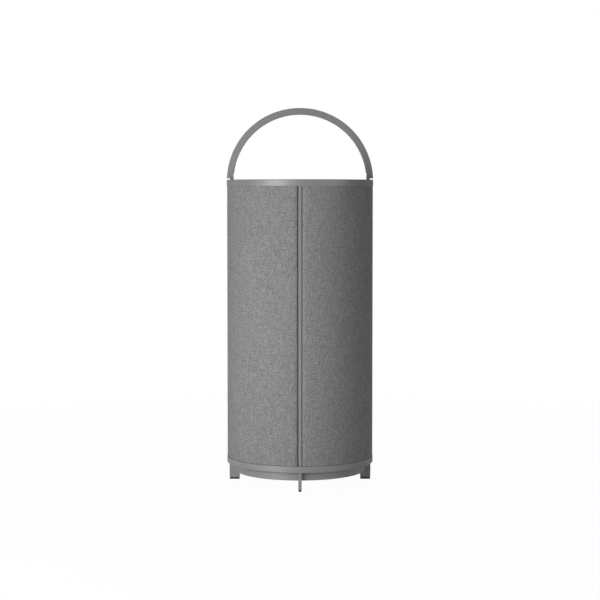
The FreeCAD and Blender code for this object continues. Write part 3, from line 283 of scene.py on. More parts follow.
def yarns(tree, across, along, thread, length, batch):
    """The number of the yarn at a place, its roundness, and a random tone for each length of it."""
    turns = calculate(tree, "DIVIDE", across, thread)
    number = calculate(tree, "FLOOR", turns)
    start = calculate(tree, "MULTIPLY", random_at(tree, number, batch), YARN_SHIFT)
    piece = calculate(tree, "FLOOR", calculate(tree, "ADD", calculate(tree, "DIVIDE", along, length), start))
    tone = random_at(tree, number, calculate(tree, "ADD", piece, batch))
    ridge = calculate(tree, "ABSOLUTE", calculate(tree, "SINE", calculate(tree, "MULTIPLY", turns, math.pi)))
    return number, ridge, tone


def woven(name, dark, light, thread, length, **fixed):
    """Plain weave on the piece's own map: yarns of light and dark lengths, mixed at each crossing."""
    material, tree, shader = start_material(name)
    where = tree.nodes.new("ShaderNodeTexCoord").outputs["UV"]
    place = add(tree, "ShaderNodeSeparateXYZ", [where]).node.outputs
    column, warp_ridge, warp = yarns(tree, place["X"], place["Y"], thread, length, WARP_BATCH)
    row, weft_ridge, weft = yarns(tree, place["Y"], place["X"], thread, length, WEFT_BATCH)
    over = calculate(tree, "MODULO", calculate(tree, "ADD", column, row), 2.0)
    even_weft = mix(tree, EVEN_WEFT_SHARE, weft, 0.5)
    tone = mix(tree, over, even_weft, warp)
    crossing = random_at(tree, column, calculate(tree, "ADD", row, CROSSING_BATCH))
    tone = mix(tree, FIBRE_SHARE, tone, crossing)
    thick = noise(tree, where, SLUB_SIZE, SLUB_STRETCH, 1.0)
    tone = calculate(tree, "ADD", tone, map_range(tree, thick, SLUB_SPAN, SLUB_LIGHT))
    height = mix(tree, over, weft_ridge, warp_ridge)
    # Painted highlight along each yarn's ridge and painted shade at its sides, added to the yarn's tone
    rounded = calculate(tree, "MULTIPLY_ADD", height, PAINTED_RIDGE_HIGHLIGHT, PAINTED_SIDE_SHADE)
    colour = two_tone(tree, calculate(tree, "ADD", tone, rounded), dark, light, WEAVE_SPAN)
    tree.links.new(colour, shader.inputs["Base Color"])
    height = mix(tree, WEAVE_TONE_RELIEF, height, tone)
    bump = add(tree, "ShaderNodeBump", {"Height": height, "Distance": thread / 5, "Strength": WEAVE_BUMP})
    tree.links.new(bump, shader.inputs["Normal"])
    set_shader(shader, fixed)
    return material


def make_finishes():
    """Every finish, by the name of its slot; grain, relief, thread and length are in metres."""
    return {
        "satin_metal": grained(
            "satin_grey_metal", grey(0.306, WARM), grey(0.322, WARM),
            grain=0.0004, relief=0.000002, roughness=(0.4, 0.46), Metallic=0.16
        ),
        "button_metal": grained(
            "button_grey_metal", grey(0.3, WARM), grey(0.36, WARM),
            grain=0.0003, relief=0.00001, roughness=(0.28, 0.36), Metallic=0.5
        ),
        "black_metal": grained(
            "black_powder_coat", grey(0.014), grey(0.03),
            grain=0.0006, relief=0.00005, roughness=(0.5, 0.65)
        ),
        "melange_fabric": woven(
            "grey_melange_weave", grey(0.15, WARM), grey(0.425, WARM),
            thread=0.00078, length=0.008, Roughness=0.92, Sheen_Weight=0.12
        ),
        "black_plastic": grained(
            "moulded_black_plastic", grey(0.012), grey(0.022),
            grain=0.0005, relief=0.00003, roughness=(0.45, 0.6)
        ),
        "black_rubber": grained(
            "matt_black_rubber", grey(0.008), grey(0.018),
            grain=0.0004, relief=0.00004, roughness=(0.7, 0.85)
        ),
        "green_board": grained(
            "solder_mask", (0.006, 0.05, 0.022, 1), (0.012, 0.085, 0.04, 1),
            grain=0.0012, relief=0.00002, roughness=(0.3, 0.42)
        ),
        "cell_wrap": grained(
            "shrink_wrap", (0.015, 0.06, 0.2, 1), (0.025, 0.09, 0.28, 1),
            grain=0.002, relief=0.00003, roughness=(0.25, 0.35)
        ),
        "bright_steel": grained(
            "zinc_plated_steel", grey(0.5), grey(0.62),
            grain=0.0003, relief=0.00001, roughness=(0.25, 0.36), Metallic=1.0
        ),
        "washer_plastic": grained(
            "slippery_plastic", grey(0.02), grey(0.035),
            grain=0.0004, relief=0.00002, roughness=(0.35, 0.5)
        ),
        "frosted_light": grained(
            "frosted_diffuser", grey(0.68), grey(0.78),
            grain=0.0006, relief=0.00002, roughness=(0.4, 0.5), Transmission_Weight=0.2
        ),
        "ferrite": grained(
            "raw_ferrite", grey(0.02), grey(0.05),
            grain=0.0008, relief=0.00008, roughness=(0.55, 0.75), Metallic=0.4
        ),
        "coated_paper": grained(
            "coated_paper_pulp", grey(0.008), grey(0.03),
            grain=0.0011, relief=0.00012, roughness=(0.6, 0.8)
        ),
        "coil_copper": grained(
            "enamelled_winding", (0.35, 0.12, 0.04, 1), (0.6, 0.26, 0.1, 1),
            grain=0.0004, relief=0.0001, roughness=(0.2, 0.3), stretch=(12, 12, 1), Metallic=1.0
        ),
        "woven_spider": grained(
            "treated_cloth", (0.3, 0.18, 0.05, 1), (0.55, 0.38, 0.13, 1),
            grain=0.0009, relief=0.00015, roughness=(0.7, 0.85)
        ),
    }


def dress_frame(finishes):
    """Give each carried-over solid its finish."""
    for row in frame["record"]["subparts"]:
        item = frame["nodes"][row["node"]]
        for place in item.material_slots:
            place.material = finishes[row["material_slot"]]


# Modelling helpers

SAME_PLACE = 1e-5
WELD_REACH = 1e-6
# How far a cutting tool reaches past what it cuts
CUT_OVERRUN = 0.002
# The square that is merged into a drawn line's first vertex
FIRST_SQUARE = 0.001


def deselect():
    """Back to object mode, with nothing selected."""
    if bpy.context.mode != "OBJECT":
        bpy.ops.object.mode_set(mode="OBJECT")
    bpy.ops.object.select_all(action="DESELECT")


def edit(item):
    """Edit mode on one piece, with nothing in it selected."""
    deselect()
    item.select_set(True)
    bpy.context.view_layer.objects.active = item
    bpy.ops.object.mode_set(mode="EDIT")
    bpy.ops.mesh.select_mode(type="VERT")
    bpy.ops.mesh.select_all(action="DESELECT")


def pick(item, kind, wanted):
    """Select the vertices, edges or faces whose place, and for faces normal, pass the test."""
    modes = {"vertices": "VERT", "edges": "EDGE", "polygons": "FACE"}
    bpy.ops.mesh.select_mode(type=modes[kind])
    bpy.ops.mesh.select_all(action="DESELECT")
    bpy.ops.object.mode_set(mode="OBJECT")
    mesh = item.data
    for element in getattr(mesh, kind):
        if kind == "vertices":
            chosen = wanted(element.co)
        elif kind == "edges":
            chosen = wanted(*[mesh.vertices[number].co for number in element.vertices])
        else:
            chosen = wanted(element.center, element.normal)
        element.select = bool(chosen)
    bpy.ops.object.mode_set(mode="EDIT")


def near(first, second):
    """Whether two distances are the same but for rounding."""
    return abs(first - second) < SAME_PLACE


def move(offset):
    """Blender's own form of a move, for an extrusion."""
    return {"value": tuple(offset)}


def rectangle(left, right, low, high):
    """Four corners as pairs, anticlockwise from the lower left."""
    return [(left, low), (right, low), (right, high), (left, high)]


def section(points):
    """A section in the XZ plane from pairs of radius and height."""
    return [(radius, 0, height) for radius, height in points]


def on_circle(radius, turn, height):
    """A place on a level circle round the axis."""
    return Vector((radius * math.cos(turn), radius * math.sin(turn), height))


def draw(points, closed=True):
    """A line drawn in edit mode from one vertex through the points, and closed back to the first."""
    deselect()
    bpy.ops.mesh.primitive_plane_add(size=FIRST_SQUARE, location=points[0])
    item = bpy.context.object
    bpy.ops.object.transform_apply(location=True)
    edit(item)
    bpy.ops.mesh.select_all(action="SELECT")
    bpy.ops.mesh.merge(type="CENTER")
    for before, after in zip(points, points[1:]):
        bpy.ops.mesh.extrude_vertices_move(TRANSFORM_OT_translate=move(Vector(after) - Vector(before)))
    if closed:
        ends = (Vector(points[0]), Vector(points[-1]))
        pick(item, "vertices", lambda co: min((co - end).length for end in ends) < SAME_PLACE)
        bpy.ops.mesh.edge_face_add()
    return item


def round_corners(item, radius, steps, wanted=lambda co: True):
    """Round the chosen corners of a drawn line."""
    pick(item, "vertices", wanted)
    bpy.ops.mesh.bevel(offset=radius, offset_type="OFFSET", segments=steps, affect="VERTICES")


def weld_shell():
    """Weld the edited shell and turn its faces out."""
    bpy.ops.mesh.select_mode(type="VERT")
    bpy.ops.mesh.select_all(action="SELECT")
    bpy.ops.mesh.remove_doubles(threshold=WELD_REACH)
    bpy.ops.mesh.normals_make_consistent(inside=False)


def spin_round(steps=256, angle=2 * math.pi, centre=(0, 0, 0), axis=(0, 0, 1)):
    """Turn the edited section about an axis into a shell; Blender's spin turns clockwise about it."""
    bpy.ops.mesh.select_mode(type="VERT")
    bpy.ops.mesh.select_all(action="SELECT")
    bpy.ops.mesh.spin(steps=steps, angle=angle, center=centre, axis=axis)
    weld_shell()


def raise_outline(offset):
    """Fill the edited outline and extrude it into a solid."""
    bpy.ops.mesh.select_mode(type="VERT")
    bpy.ops.mesh.select_all(action="SELECT")
    bpy.ops.mesh.edge_face_add()
    bpy.ops.mesh.extrude_region_move(TRANSFORM_OT_translate=move(offset))
    weld_shell()


def apply_all(item):
    """Leave edit mode and apply the piece's place and modifiers."""
    if item.mode == "EDIT":
        bpy.ops.object.mode_set(mode="OBJECT")
    deselect()
    item.select_set(True)
    bpy.context.view_layer.objects.active = item
    bpy.ops.object.transform_apply(location=True, rotation=True, scale=True)
    for modifier in list(item.modifiers):
        bpy.ops.object.modifier_apply(modifier=modifier.name)


def cut_away(item, tools):
    """Take the tools' solids out of a piece."""
    apply_all(item)
    for tool in tools:
        apply_all(tool)
        cutting = item.modifiers.new("cut", "BOOLEAN")
        cutting.operation = "DIFFERENCE"
        cutting.solver = "EXACT"
        cutting.object = tool
        apply_all(item)
        bpy.data.objects.remove(tool)


def block(low, high):
    """A square-cornered solid between two corners."""
    deselect()
    low, high = Vector(low), Vector(high)
    bpy.ops.mesh.primitive_cube_add(size=1, location=(low + high) / 2)
    item = bpy.context.object
    item.scale = high - low
    return item


def rod(radius, length, middle, turn=(0, 0, 0), sides=48):
    """A round or many-sided cutting tool."""
    deselect()
    bpy.ops.mesh.primitive_cylinder_add(
        vertices=sides, radius=radius, depth=length, location=middle, rotation=turn
    )
    return bpy.context.object


def soften(item, width, steps=2, angle=40):
    """Round every edge sharper than the angle."""
    soft = item.modifiers.new("soft_edges", "BEVEL")
    soft.width = width
    soft.segments = steps
    soft.limit_method = "ANGLE"
    soft.angle_limit = math.radians(angle)


def copy_of(item):
    """A copy with its own mesh."""
    copy = item.copy()
    copy.data = item.data.copy()
    bpy.context.collection.objects.link(copy)
    return copy


def four_round(first):
    """The piece and three copies of it, each a quarter turn further round."""
    pieces = [first] + [copy_of(first) for _ in range(3)]
    for quarter, piece in enumerate(pieces):
        piece.rotation_euler[2] = quarter * math.pi / 2
    return pieces


def joined(items):
    """The pieces as one, under the first one's name."""
    for item in items:
        apply_all(item)
    deselect()
    for item in items:
        item.select_set(True)
    bpy.context.view_layer.objects.active = items[0]
    bpy.ops.object.join()
    return items[0]


def finish_piece(item, name, slot, body="body", stands_for=(), angle=35):
    """Apply a piece's place and modifiers, shade, name and paint it, and put it on its body."""
    apply_all(item)
    bpy.ops.object.shade_smooth_by_angle(angle=math.radians(angle))
    flat = item.modifiers.new("flat_faces", "WEIGHTED_NORMAL")
    flat.keep_sharp = True
    apply_all(item)
    item.name = name
    item.data.materials.clear()
    item.data.materials.append(finishes[slot])
    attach(item, body)
    if stands_for:
        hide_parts(*stands_for)


# Sizes taken from the frame

RING_LOW, RING_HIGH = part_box("top_ring")
BASE_LOW, BASE_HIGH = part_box("base_ring")
PLINTH_LOW, PLINTH_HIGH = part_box("plinth_drum")
BLADE_LOW, BLADE_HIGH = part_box("right_blade")
CLOTH_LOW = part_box("back_right_fabric")[0]
HANDLE_LOW, HANDLE_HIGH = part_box("handle")
LUG_LOW, LUG_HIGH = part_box("handle_lugs")
PLATE_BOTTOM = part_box("top_plate")[0].z
WOOFER_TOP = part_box("woofer_frame")[1].z


# Rings and plinth

BODY_RADIUS = 0.125
RING_INNER = 0.1215
RING_INNER_ROUND = 0.0003
TOP_RING_ROUND = 0.0008
BASE_RING_ROUND = 0.0014
CRISP_ROUND = 0.0002

PLINTH_RADIUS = 0.112
PLINTH_ROUND = 0.001
PLINTH_WALL = 0.0025
LEDGE_WIDTH = 0.0065
COVER_TOP = 0.0195
LEDGE_TOP = 0.0225
BLADE_HALF = (BLADE_HIGH.y - BLADE_LOW.y) / 2
NOTCH_GAP = 0.0001
NOTCH_HALF = BLADE_HALF + NOTCH_GAP
INLET_TURN = math.radians(72)
INLET_LEVEL = 0.0255
INLET_RADIUS = 0.0056
SCREW_CIRCLE = 0.10625
SCREW_HOLE = 0.00135
SCREW_TURNS = [math.radians(quarter + step) for quarter in (0, 90, 180, 270) for step in (30, 60)]


def make_ring(name, low, high, top_round, bottom_round):
    """A turned hoop; its upper and lower outer edges have rounds of their own."""
    ring = draw(section(rectangle(RING_INNER, BODY_RADIUS, low, high)))
    round_corners(ring, top_round, 5, lambda co: near(co.x, BODY_RADIUS) and near(co.z, high))
    round_corners(ring, bottom_round, 6, lambda co: near(co.x, BODY_RADIUS) and near(co.z, low))
    round_corners(ring, RING_INNER_ROUND, 2, lambda co: near(co.x, RING_INNER))
    spin_round()
    finish_piece(ring, f"{name}_hoop", "satin_metal", stands_for=[name], angle=50)


def make_plinth():
    """A drum with a ledge for the bottom cover, notched for the blades and bored for inlet and screws."""
    inner = PLINTH_RADIUS - PLINTH_WALL
    ledge = inner - LEDGE_WIDTH
    low, high = PLINTH_LOW.z, PLINTH_HIGH.z
    outline = rectangle(inner, PLINTH_RADIUS, low, high)
    outline += [(inner, LEDGE_TOP), (ledge, LEDGE_TOP), (ledge, COVER_TOP), (inner, COVER_TOP)]
    drum = draw(section(outline))
    round_corners(drum, PLINTH_ROUND, 5, lambda co: near(co.x, PLINTH_RADIUS) and near(co.z, low))
    spin_round()
    tools = []
    for x, y in ((BODY_RADIUS, NOTCH_HALF), (NOTCH_HALF, BODY_RADIUS)):
        tools.append(block((-x, -y, low - CUT_OVERRUN), (x, y, high + CUT_OVERRUN)))
    inlet = on_circle((ledge + PLINTH_RADIUS) / 2, INLET_TURN, INLET_LEVEL)
    depth = PLINTH_RADIUS - ledge + 2 * CUT_OVERRUN
    tools.append(rod(INLET_RADIUS, depth, inlet, (0, math.pi / 2, INLET_TURN)))
    for turn in SCREW_TURNS:
        hole = on_circle(SCREW_CIRCLE, turn, (COVER_TOP + LEDGE_TOP) / 2)
        tools.append(rod(SCREW_HOLE, LEDGE_TOP - COVER_TOP + 2 * CUT_OVERRUN, hole, sides=24))
    cut_away(drum, tools)
    finish_piece(drum, "plinth_shell", "satin_metal", stands_for=["plinth_drum"])


# Blades, feet and slot seals

QUARTER_SIDES = ("right", "back", "left", "front")
BLADE_INNER = BLADE_LOW.x
BLADE_OUTER = BLADE_HIGH.x
BLADE_SOFT = 0.0003
FOOT_TAPER = 0.0003
PAD_INSET = 0.0003
PAD_RIM = 0.0012
PAD_HOLLOW = 0.0006
SEAL_INNER = 0.1019
SEAL_OUTER = 0.1032
SEAL_HALF = 0.0085
SEAL_GAP = 0.0001
RUBBER_SOFT = 0.0003


def make_blades():
    """Each blade is a post in its slot and a foot below the base ring."""
    inner, outer = BLADE_INNER + FOOT_TAPER, BLADE_OUTER - FOOT_TAPER
    outline = [(inner, BLADE_LOW.z), (outer, BLADE_LOW.z), (BLADE_OUTER, BASE_LOW.z)]
    outline += [(BLADE_OUTER, BLADE_HIGH.z), (BLADE_INNER, BLADE_HIGH.z), (BLADE_INNER, BASE_LOW.z)]
    first = draw([(x, -BLADE_HALF, z) for x, z in outline])
    raise_outline((0, 2 * BLADE_HALF, 0))
    soften(first, BLADE_SOFT, 3)
    apply_all(first)
    for side, blade in zip(QUARTER_SIDES, four_round(first)):
        finish_piece(blade, f"{side}_plate", "satin_metal", stands_for=[f"{side}_blade"])


def make_pads():
    """Rubber pads with a shallow hollow underneath."""
    low = Vector((BLADE_INNER + FOOT_TAPER + PAD_INSET, PAD_INSET - BLADE_HALF, 0))
    high = Vector((BLADE_OUTER - FOOT_TAPER - PAD_INSET, BLADE_HALF - PAD_INSET, BLADE_LOW.z))
    first = block(low, high)
    apply_all(first)
    edit(first)
    pick(first, "polygons", lambda middle, normal: normal.z < -0.9)
    bpy.ops.mesh.inset(thickness=PAD_RIM)
    bpy.ops.mesh.extrude_region_move(TRANSFORM_OT_translate=move((0, 0, PAD_HOLLOW)))
    soften(first, RUBBER_SOFT)
    apply_all(first)
    finish_piece(joined(four_round(first)), "rubber_pads", "black_rubber", stands_for=["foot_pads"])


def make_slot_seals():
    """Rubber strips behind the blades that close the slots against light and rattle."""
    outline = rectangle(SEAL_INNER, SEAL_OUTER, -SEAL_HALF, SEAL_HALF)
    first = draw([(x, y, BASE_HIGH.z + SEAL_GAP) for x, y in outline])
    raise_outline((0, 0, RING_LOW.z - BASE_HIGH.z - 2 * SEAL_GAP))
    soften(first, RUBBER_SOFT)
    apply_all(first)
    finish_piece(joined(four_round(first)), "slot_seals", "black_rubber")


# Handle and its lugs

HANDLE_WIDTH = 0.0115
HANDLE_HALF_DEPTH = HANDLE_HIGH.y
HANDLE_INNER = BODY_RADIUS - HANDLE_WIDTH
HANDLE_CENTRE = HANDLE_HIGH.z - BODY_RADIUS
BAR_ROUND = 0.0008
BAR_SOFT = 0.0004
LEG_END = HANDLE_LOW.z
LAP_GAP = 0.0004
PIVOT = LEG_END + HANDLE_HALF_DEPTH
PIN_RADIUS = 0.0025
PIN_CLEARANCE = 0.00005
PIN_END = 0.1232

LUG_TOP = LUG_HIGH.z
LUG_GAP = 0.00015
LUG_OUTER = LUG_HIGH.x
# The lug's neck reaches this far inside the handle's leg
LUG_STEP = 0.0001
LUG_INNER = HANDLE_INNER - LUG_STEP
LUG_DEPTH = 0.0132
LUG_FOOT_HALF = LUG_HIGH.y
LUG_FOOT_INNER = LUG_OUTER - LUG_DEPTH
LUG_BOLT_RADIUS = 0.0021
# The eye's round stops this far short of the neck's middle
EYE_FLAT = 0.00001
# The lugs' cutting tools all reach past what they cut. Other lengths split the cut faces another way,
# which changes the width that the softened edges can have
NECK_OVERRUN = 0.001
NOTCH_CUT_MIDDLE = 0.1125
NOTCH_CUT_REACH = 0.01
EYE_CUT_MIDDLE = 0.1165
EYE_CUT_LENGTH = 0.02
BOLT_CUT_LENGTH = 0.03


def make_handle():
    """Flat bar bent into a half hoop; its legs are lapped over the lugs."""
    half = HANDLE_HALF_DEPTH
    outline = rectangle(HANDLE_INNER, BODY_RADIUS, -half, half)
    bar = draw([(x, y, HANDLE_CENTRE) for x, y in outline])
    round_corners(bar, BAR_ROUND, 4)
    spin_round(steps=192, angle=math.pi, centre=(0, 0, HANDLE_CENTRE), axis=(0, 1, 0))
    bpy.ops.mesh.select_all(action="SELECT")
    level = (0, 0, LEG_END)
    bpy.ops.mesh.bisect(plane_co=level, plane_no=UP, clear_inner=True, use_fill=True, threshold=WELD_REACH)
    weld_shell()
    tools = []
    shoulder = LUG_TOP + LUG_GAP
    for side in (-1, 1):
        left, right = sorted((side * (HANDLE_INNER - HANDLE_WIDTH), side * (LUG_OUTER + LAP_GAP)))
        tools.append(block((left, -2 * half, LEG_END - CUT_OVERRUN), (right, 2 * half, shoulder)))
        socket = (side * (LUG_OUTER + PIN_END) / 2, 0, PIVOT)
        tools.append(rod(PIN_RADIUS + PIN_CLEARANCE, PIN_END - LUG_OUTER, socket, (0, math.pi / 2, 0)))
    cut_away(bar, tools)
    soften(bar, BAR_SOFT, 3)
    finish_piece(bar, "bail_handle", "satin_metal", body="handle", stands_for=["handle"])


def make_lugs():
    """A neck with an eye, square in front and round behind, on a forked foot that straddles the blade."""
    foot_low, foot_high = LUG_LOW.z, RING_LOW.z
    half = HANDLE_HALF_DEPTH
    lugs = []
    for side in (1, -1):
        outline = rectangle(-LUG_FOOT_HALF, LUG_FOOT_HALF, foot_low, foot_high)
        outline[3:3] = [(half, foot_high), (half, LUG_TOP), (-half, LUG_TOP), (-half, foot_high)]
        lug = draw([(side * LUG_FOOT_INNER, y, z) for y, z in outline])
        round_corners(lug, half - EYE_FLAT, 10, lambda co: near(co.y, half) and near(co.z, LUG_TOP))
        raise_outline((side * (LUG_OUTER - LUG_FOOT_INNER), 0, 0))
        neck = sorted((side * (LUG_FOOT_INNER - NECK_OVERRUN), side * LUG_INNER))
        notch = side * NOTCH_CUT_MIDDLE
        notch_low = (notch - NOTCH_CUT_REACH, -NOTCH_HALF, foot_low - CUT_OVERRUN)
        notch_high = (notch + NOTCH_CUT_REACH, NOTCH_HALF, foot_high)
        eye = (side * EYE_CUT_MIDDLE, 0, PIVOT)
        bolt = (side * (LUG_FOOT_INNER + LUG_OUTER) / 2, 0, (foot_low + foot_high) / 2)
        tools = [
            block((neck[0], -2 * half, foot_high), (neck[1], 2 * half, LUG_TOP + NECK_OVERRUN)),
            block(notch_low, notch_high),
            rod(PIN_RADIUS, EYE_CUT_LENGTH, eye, (0, math.pi / 2, 0)),
            rod(LUG_BOLT_RADIUS, BOLT_CUT_LENGTH, bolt, (math.pi / 2, 0, 0)),
        ]
        cut_away(lug, tools)
        soften(lug, BAR_SOFT, 3)
        lugs.append(lug)
    finish_piece(joined(lugs), "hinge_lugs", "satin_metal", stands_for=["handle_lugs"])


# Buttons with their marks

BUTTON_RIM = 0.0018
BUTTON_GAP = 0.0003
RIM_HEIGHT = 0.0012
CAP_ROUND = 0.0005
DISH_INSET = 2.5 * CAP_ROUND
DISH_DEPTH = 0.0005
DISH_STEPS = 8
# How far a mark's underside and its top lie below the cap's rim
MARK_LOW = 0.0008
MARK_TOP = 0.0002
MILLIMETRE = 0.001


def make_button(name):
    """A turned cap with a dished top, over a rim that the disc holds down. Returns its top's centre."""
    low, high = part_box(f"{name}_button")
    middle = (low + high) / 2
    wide = (high.x - low.x) / 2
    radius = wide - BUTTON_RIM
    rim_high = PLATE_BOTTOM - BUTTON_GAP
    rim_low = rim_high - RIM_HEIGHT
    outline = [(0, low.z), (radius / 2, low.z), (radius / 2, rim_low), (wide, rim_low), (wide, rim_high)]
    outline += [(radius, rim_high), (radius, high.z)]
    for step in range(DISH_STEPS + 1):
        reach = 1 - step / DISH_STEPS
        outline.append(((radius - DISH_INSET) * reach, high.z - DISH_DEPTH * (1 - reach**2)))
    cap = draw(section(outline), closed=False)
    round_corners(cap, CAP_ROUND, 4, lambda co: near(co.x, radius) and near(co.z, high.z))
    spin_round(steps=96)
    cap.location = (middle.x, middle.y, 0)
    finish_piece(cap, f"{name}_cap", "button_metal", body=f"{name}_key", stands_for=[f"{name}_button"])
    return Vector((middle.x, middle.y, high.z))


def mark_outline(points, rounding):
    """A flat mark with rounded corners, raised from below the dish; its sizes are in millimetres."""
    mark = draw([(x * MILLIMETRE, y * MILLIMETRE, -MARK_LOW) for x, y in points])
    round_corners(mark, rounding * MILLIMETRE, 4)
    raise_outline((0, 0, MARK_LOW - MARK_TOP))
    return mark


def mark_arc(radius, width, start, sweep):
    """A flat mark bent round a circle in millimetres, from an angle and through a sweep in degrees."""
    inner, outer = (radius - width / 2) * MILLIMETRE, (radius + width / 2) * MILLIMETRE
    turn = math.radians(start)
    arc = draw([on_circle(reach, turn, z) for reach, z in rectangle(inner, outer, -MARK_LOW, -MARK_TOP)])
    bpy.ops.mesh.select_all(action="SELECT")
    bpy.ops.mesh.edge_face_add()
    spin_round(steps=24, angle=math.radians(sweep), axis=(0, 0, -1))
    return arc


def plus_points(reach, half):
    """The outline of a plus sign: one arm's corners, turned to the four sides."""
    points = []
    for turn in range(4):
        for x, y in ((half, -reach), (half, -half), (reach, -half)):
            for _ in range(turn):
                x, y = -y, x
            points.append((x, y))
    return points


def make_buttons():
    """Five caps, each with its raised mark."""
    tops = {name: make_button(name) for name in ("play", "volume_up", "volume_down", "power", "microphone")}
    marks = {
        "play": [mark_outline([(-1.9, -2.7), (2.8, 0), (-1.9, 2.7)], 0.35)],
        "volume_up": [mark_outline(plus_points(2.4, 0.45), 0.1)],
        "volume_down": [mark_outline(rectangle(-2.4, 2.4, -0.45, 0.45), 0.2)],
        "power": [mark_arc(2.2, 0.8, 120, 300), mark_outline(rectangle(-0.4, 0.4, 0.4, 3.0), 0.2)],
        "microphone": [
            mark_outline(rectangle(-0.95, 0.95, -0.7, 2.9), 0.9),
            mark_arc(1.95, 0.6, 180, 180),
            mark_outline(rectangle(-0.3, 0.3, -3.0, -2.0), 0.1),
        ],
    }
    for name, pieces in marks.items():
        for piece in pieces:
            apply_all(piece)
            piece.location = tops[name]
        finish_piece(joined(pieces), f"{name}_mark", "frosted_light", body=f"{name}_key")


# Screws and the charging pin

SCREW_HEAD = 0.0028
SCREW_SHANK = 0.00125
SHANK_CHAMFER = 0.0003
HEAD_HEIGHT = 0.00115
HEAD_ROUND = 0.0005
HEX_RADIUS = 0.0013
HEX_DEPTH = 0.0007
COVER_SEAT = 0.01825
WOOFER_CIRCLE = 0.0665
WOOFER_SHANK = 0.003
# The contact's ends are counted from the axis outwards
CONTACT_START = 0.1005
CONTACT_END = 0.1095
CONTACT_RADIUS = 0.00095
CONTACT_ROUND = 0.8 * CONTACT_RADIUS


def make_screw(shank):
    """A button-head screw with a hex recess, its head's seat at zero and its shank below."""
    outline = [(0, -shank), (SCREW_SHANK - SHANK_CHAMFER, -shank), (SCREW_SHANK, SHANK_CHAMFER - shank)]
    outline += [(SCREW_SHANK, 0), (SCREW_HEAD, 0), (SCREW_HEAD, HEAD_HEIGHT), (0, HEAD_HEIGHT)]
    screw = draw(section(outline), closed=False)
    round_corners(screw, HEAD_ROUND, 3, lambda co: near(co.x, SCREW_HEAD) and near(co.z, HEAD_HEIGHT))
    spin_round(steps=32)
    cut_away(screw, [rod(HEX_RADIUS, 2 * HEX_DEPTH, (0, 0, HEAD_HEIGHT), sides=6)])
    return screw


def make_screws():
    """Eight screws up through the bottom cover and four down through the woofer's rim."""
    screws = []
    for turn in SCREW_TURNS:
        screw = make_screw(LEDGE_TOP - COVER_SEAT)
        screw.rotation_euler[0] = math.pi
        screw.location = on_circle(SCREW_CIRCLE, turn, COVER_SEAT)
        screws.append(screw)
    for quarter in range(4):
        screw = make_screw(WOOFER_SHANK)
        screw.location = on_circle(WOOFER_CIRCLE, math.pi / 4 + quarter * math.pi / 2, WOOFER_TOP)
        screws.append(screw)
    finish_piece(joined(screws), "hex_screws", "bright_steel", stands_for=["case_screws"])


def make_charging_pin():
    """The round-nosed contact in the middle of the charging inlet."""
    outline = rectangle(0, CONTACT_RADIUS, CONTACT_START, CONTACT_END)
    pin = draw(section(outline), closed=False)
    round_corners(pin, CONTACT_ROUND, 4, lambda co: near(co.x, CONTACT_RADIUS) and near(co.z, CONTACT_END))
    spin_round(steps=24)
    pin.rotation_euler = (0, math.pi / 2, INLET_TURN)
    pin.location = (0, 0, INLET_LEVEL)
    finish_piece(pin, "charging_pin", "bright_steel")


# Fabric covers

QUARTER_NAMES = ("back_right", "back_left", "front_left", "front_right")
FABRIC_OUTER = 0.1245
FABRIC_THICKNESS = 0.0011
FABRIC_SOFT = 0.00025
FABRIC_BOTTOM_GAP = 0.0004
FABRIC_TOP_GAP = 0.00015
# The cloth's edge lies this much nearer the slot than the solid cover's
FABRIC_EDGE_STEP = 0.0005
PANEL_EDGE = CLOTH_LOW.x - FABRIC_EDGE_STEP
PANEL_LOW, PANEL_HIGH = BASE_HIGH.z + FABRIC_BOTTOM_GAP, RING_LOW.z - FABRIC_TOP_GAP
# The cloth's edge is a quarter of an ellipse, followed by a straight turn-in along the slot
EASE_WIDTH = 0.0062
EASE_DEPTH = 0.0024
EASE_STEPS = 10
RETURN_DEPTH = 0.0018
# Each cover's map starts further along the weave, so that no two look alike
MAP_SHIFT = 0.37


def flat_place(co):
    """A point's X and Y, rounded so that it can be looked up."""
    return round(co.x, 6), round(co.y, 6)


def section_lengths(item):
    """Distance along a cover's cross-section for each of its points, and the whole length."""
    points = item.data.vertices
    links = {}
    for edge in item.data.edges:
        first, second = edge.vertices
        links.setdefault(first, []).append(second)
        links.setdefault(second, []).append(first)
    ends = [number for number, others in links.items() if len(others) == 1]
    here = min(ends, key=lambda number: points[number].co.x)
    lengths = {here: 0.0}
    run = 0.0
    while True:
        onward = [number for number in links[here] if number not in lengths]
        if not onward:
            break
        run += (points[onward[0]].co - points[here].co).length
        here = onward[0]
        lengths[here] = run
    return {flat_place(points[number].co): length for number, length in lengths.items()}, run


def ease_moves():
    """Steps across and inwards from the cover's arc to its edge, then into the slot."""
    places = []
    for step in range(EASE_STEPS + 1):
        turn = step / EASE_STEPS * math.pi / 2
        places.append((EASE_WIDTH * math.sin(turn), EASE_DEPTH * (1 - math.cos(turn))))
    moves = [(after[0] - before[0], after[1] - before[1]) for before, after in zip(places, places[1:])]
    return moves + [(0, RETURN_DEPTH)]


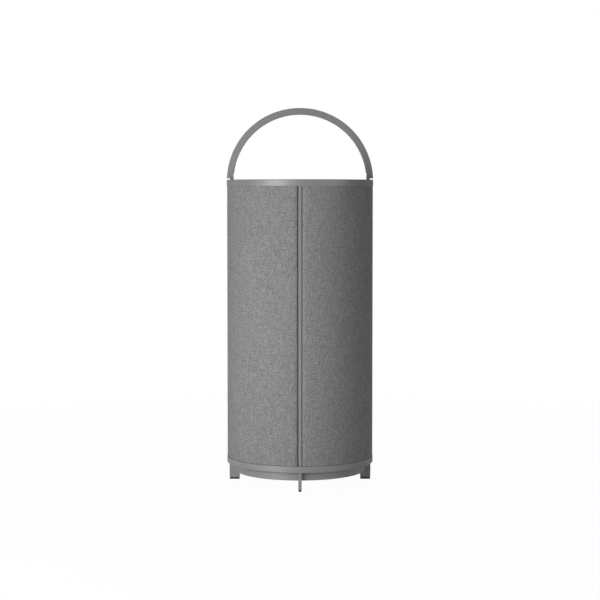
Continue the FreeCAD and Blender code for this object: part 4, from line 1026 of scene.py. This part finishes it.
def cover_sheet():
    """One quarter's cover before its thickness: an arc with both ends eased in and turned into the slots."""
    deselect()
    bpy.ops.mesh.primitive_circle_add(vertices=240, radius=FABRIC_OUTER, location=(0, 0, PANEL_LOW))
    item = bpy.context.object
    bpy.ops.object.transform_apply(location=True)
    edit(item)
    start = PANEL_EDGE + EASE_WIDTH
    for normal in ((1, 0, 0), (0, 1, 0)):
        bpy.ops.mesh.select_all(action="SELECT")
        corner = (start, start, PANEL_LOW)
        bpy.ops.mesh.bisect(plane_co=corner, plane_no=normal, clear_inner=True, threshold=WELD_REACH)
    for axis in (0, 1):
        pick(item, "vertices", lambda co: near(co[axis], start))
        for across, inwards in ease_moves():
            offset = (-across, -inwards, 0) if axis == 0 else (-inwards, -across, 0)
            bpy.ops.mesh.extrude_vertices_move(TRANSFORM_OT_translate=move(offset))
    bpy.ops.object.mode_set(mode="OBJECT")
    lengths, width = section_lengths(item)
    edit(item)
    bpy.ops.mesh.select_all(action="SELECT")
    tall = PANEL_HIGH - PANEL_LOW
    bpy.ops.mesh.extrude_region_move(TRANSFORM_OT_translate=move((0, 0, tall)))
    pick(item, "edges", lambda a, b: abs(a.z - b.z) > tall / 2)
    bpy.ops.mesh.subdivide(number_cuts=23)
    weld_shell()
    bpy.ops.object.mode_set(mode="OBJECT")
    return item, lengths, width


def map_cloth(item, lengths, shift):
    """The cloth's own map in metres: along the section, and up."""
    mesh = item.data
    for unused in list(mesh.uv_layers):
        mesh.uv_layers.remove(unused)
    layer = mesh.uv_layers.new(name="cloth")
    for loop in mesh.loops:
        co = mesh.vertices[loop.vertex_index].co
        layer.data[loop.index].uv = (lengths[flat_place(co)] + shift, co.z)


def face_from_axis(item):
    """Turn the sheet's faces away from the axis."""
    mesh = item.data
    outward = sum(face.normal.x * face.center.x + face.normal.y * face.center.y for face in mesh.polygons)
    if outward < 0:
        mesh.flip_normals()


def make_covers():
    """Four stretched covers, alike in shape and each on its own stretch of the weave."""
    first, lengths, width = cover_sheet()
    face_from_axis(first)
    for quarter, (side, cover) in enumerate(zip(QUARTER_NAMES, four_round(first))):
        map_cloth(cover, lengths, quarter * MAP_SHIFT)
        thick = cover.modifiers.new("thickness", "SOLIDIFY")
        thick.thickness = FABRIC_THICKNESS
        thick.offset = -1
        soften(cover, FABRIC_SOFT)
        finish_piece(cover, f"{side}_cover", "melange_fabric", stands_for=[f"{side}_fabric"])


# Put it together

finishes = make_finishes()
dress_frame(finishes)
add_camera()
add_world()
add_floor()
for softbox in SOFTBOXES:
    add_softbox(*softbox)

make_ring("top_ring", RING_LOW.z, RING_HIGH.z, TOP_RING_ROUND, CRISP_ROUND)
make_ring("base_ring", BASE_LOW.z, BASE_HIGH.z, CRISP_ROUND, BASE_RING_ROUND)
make_plinth()
make_blades()
make_pads()
make_slot_seals()
make_handle()
make_lugs()
make_buttons()
make_screws()
make_charging_pin()
make_covers()

scene = bpy.context.scene
scene.view_settings.view_transform = "Standard"
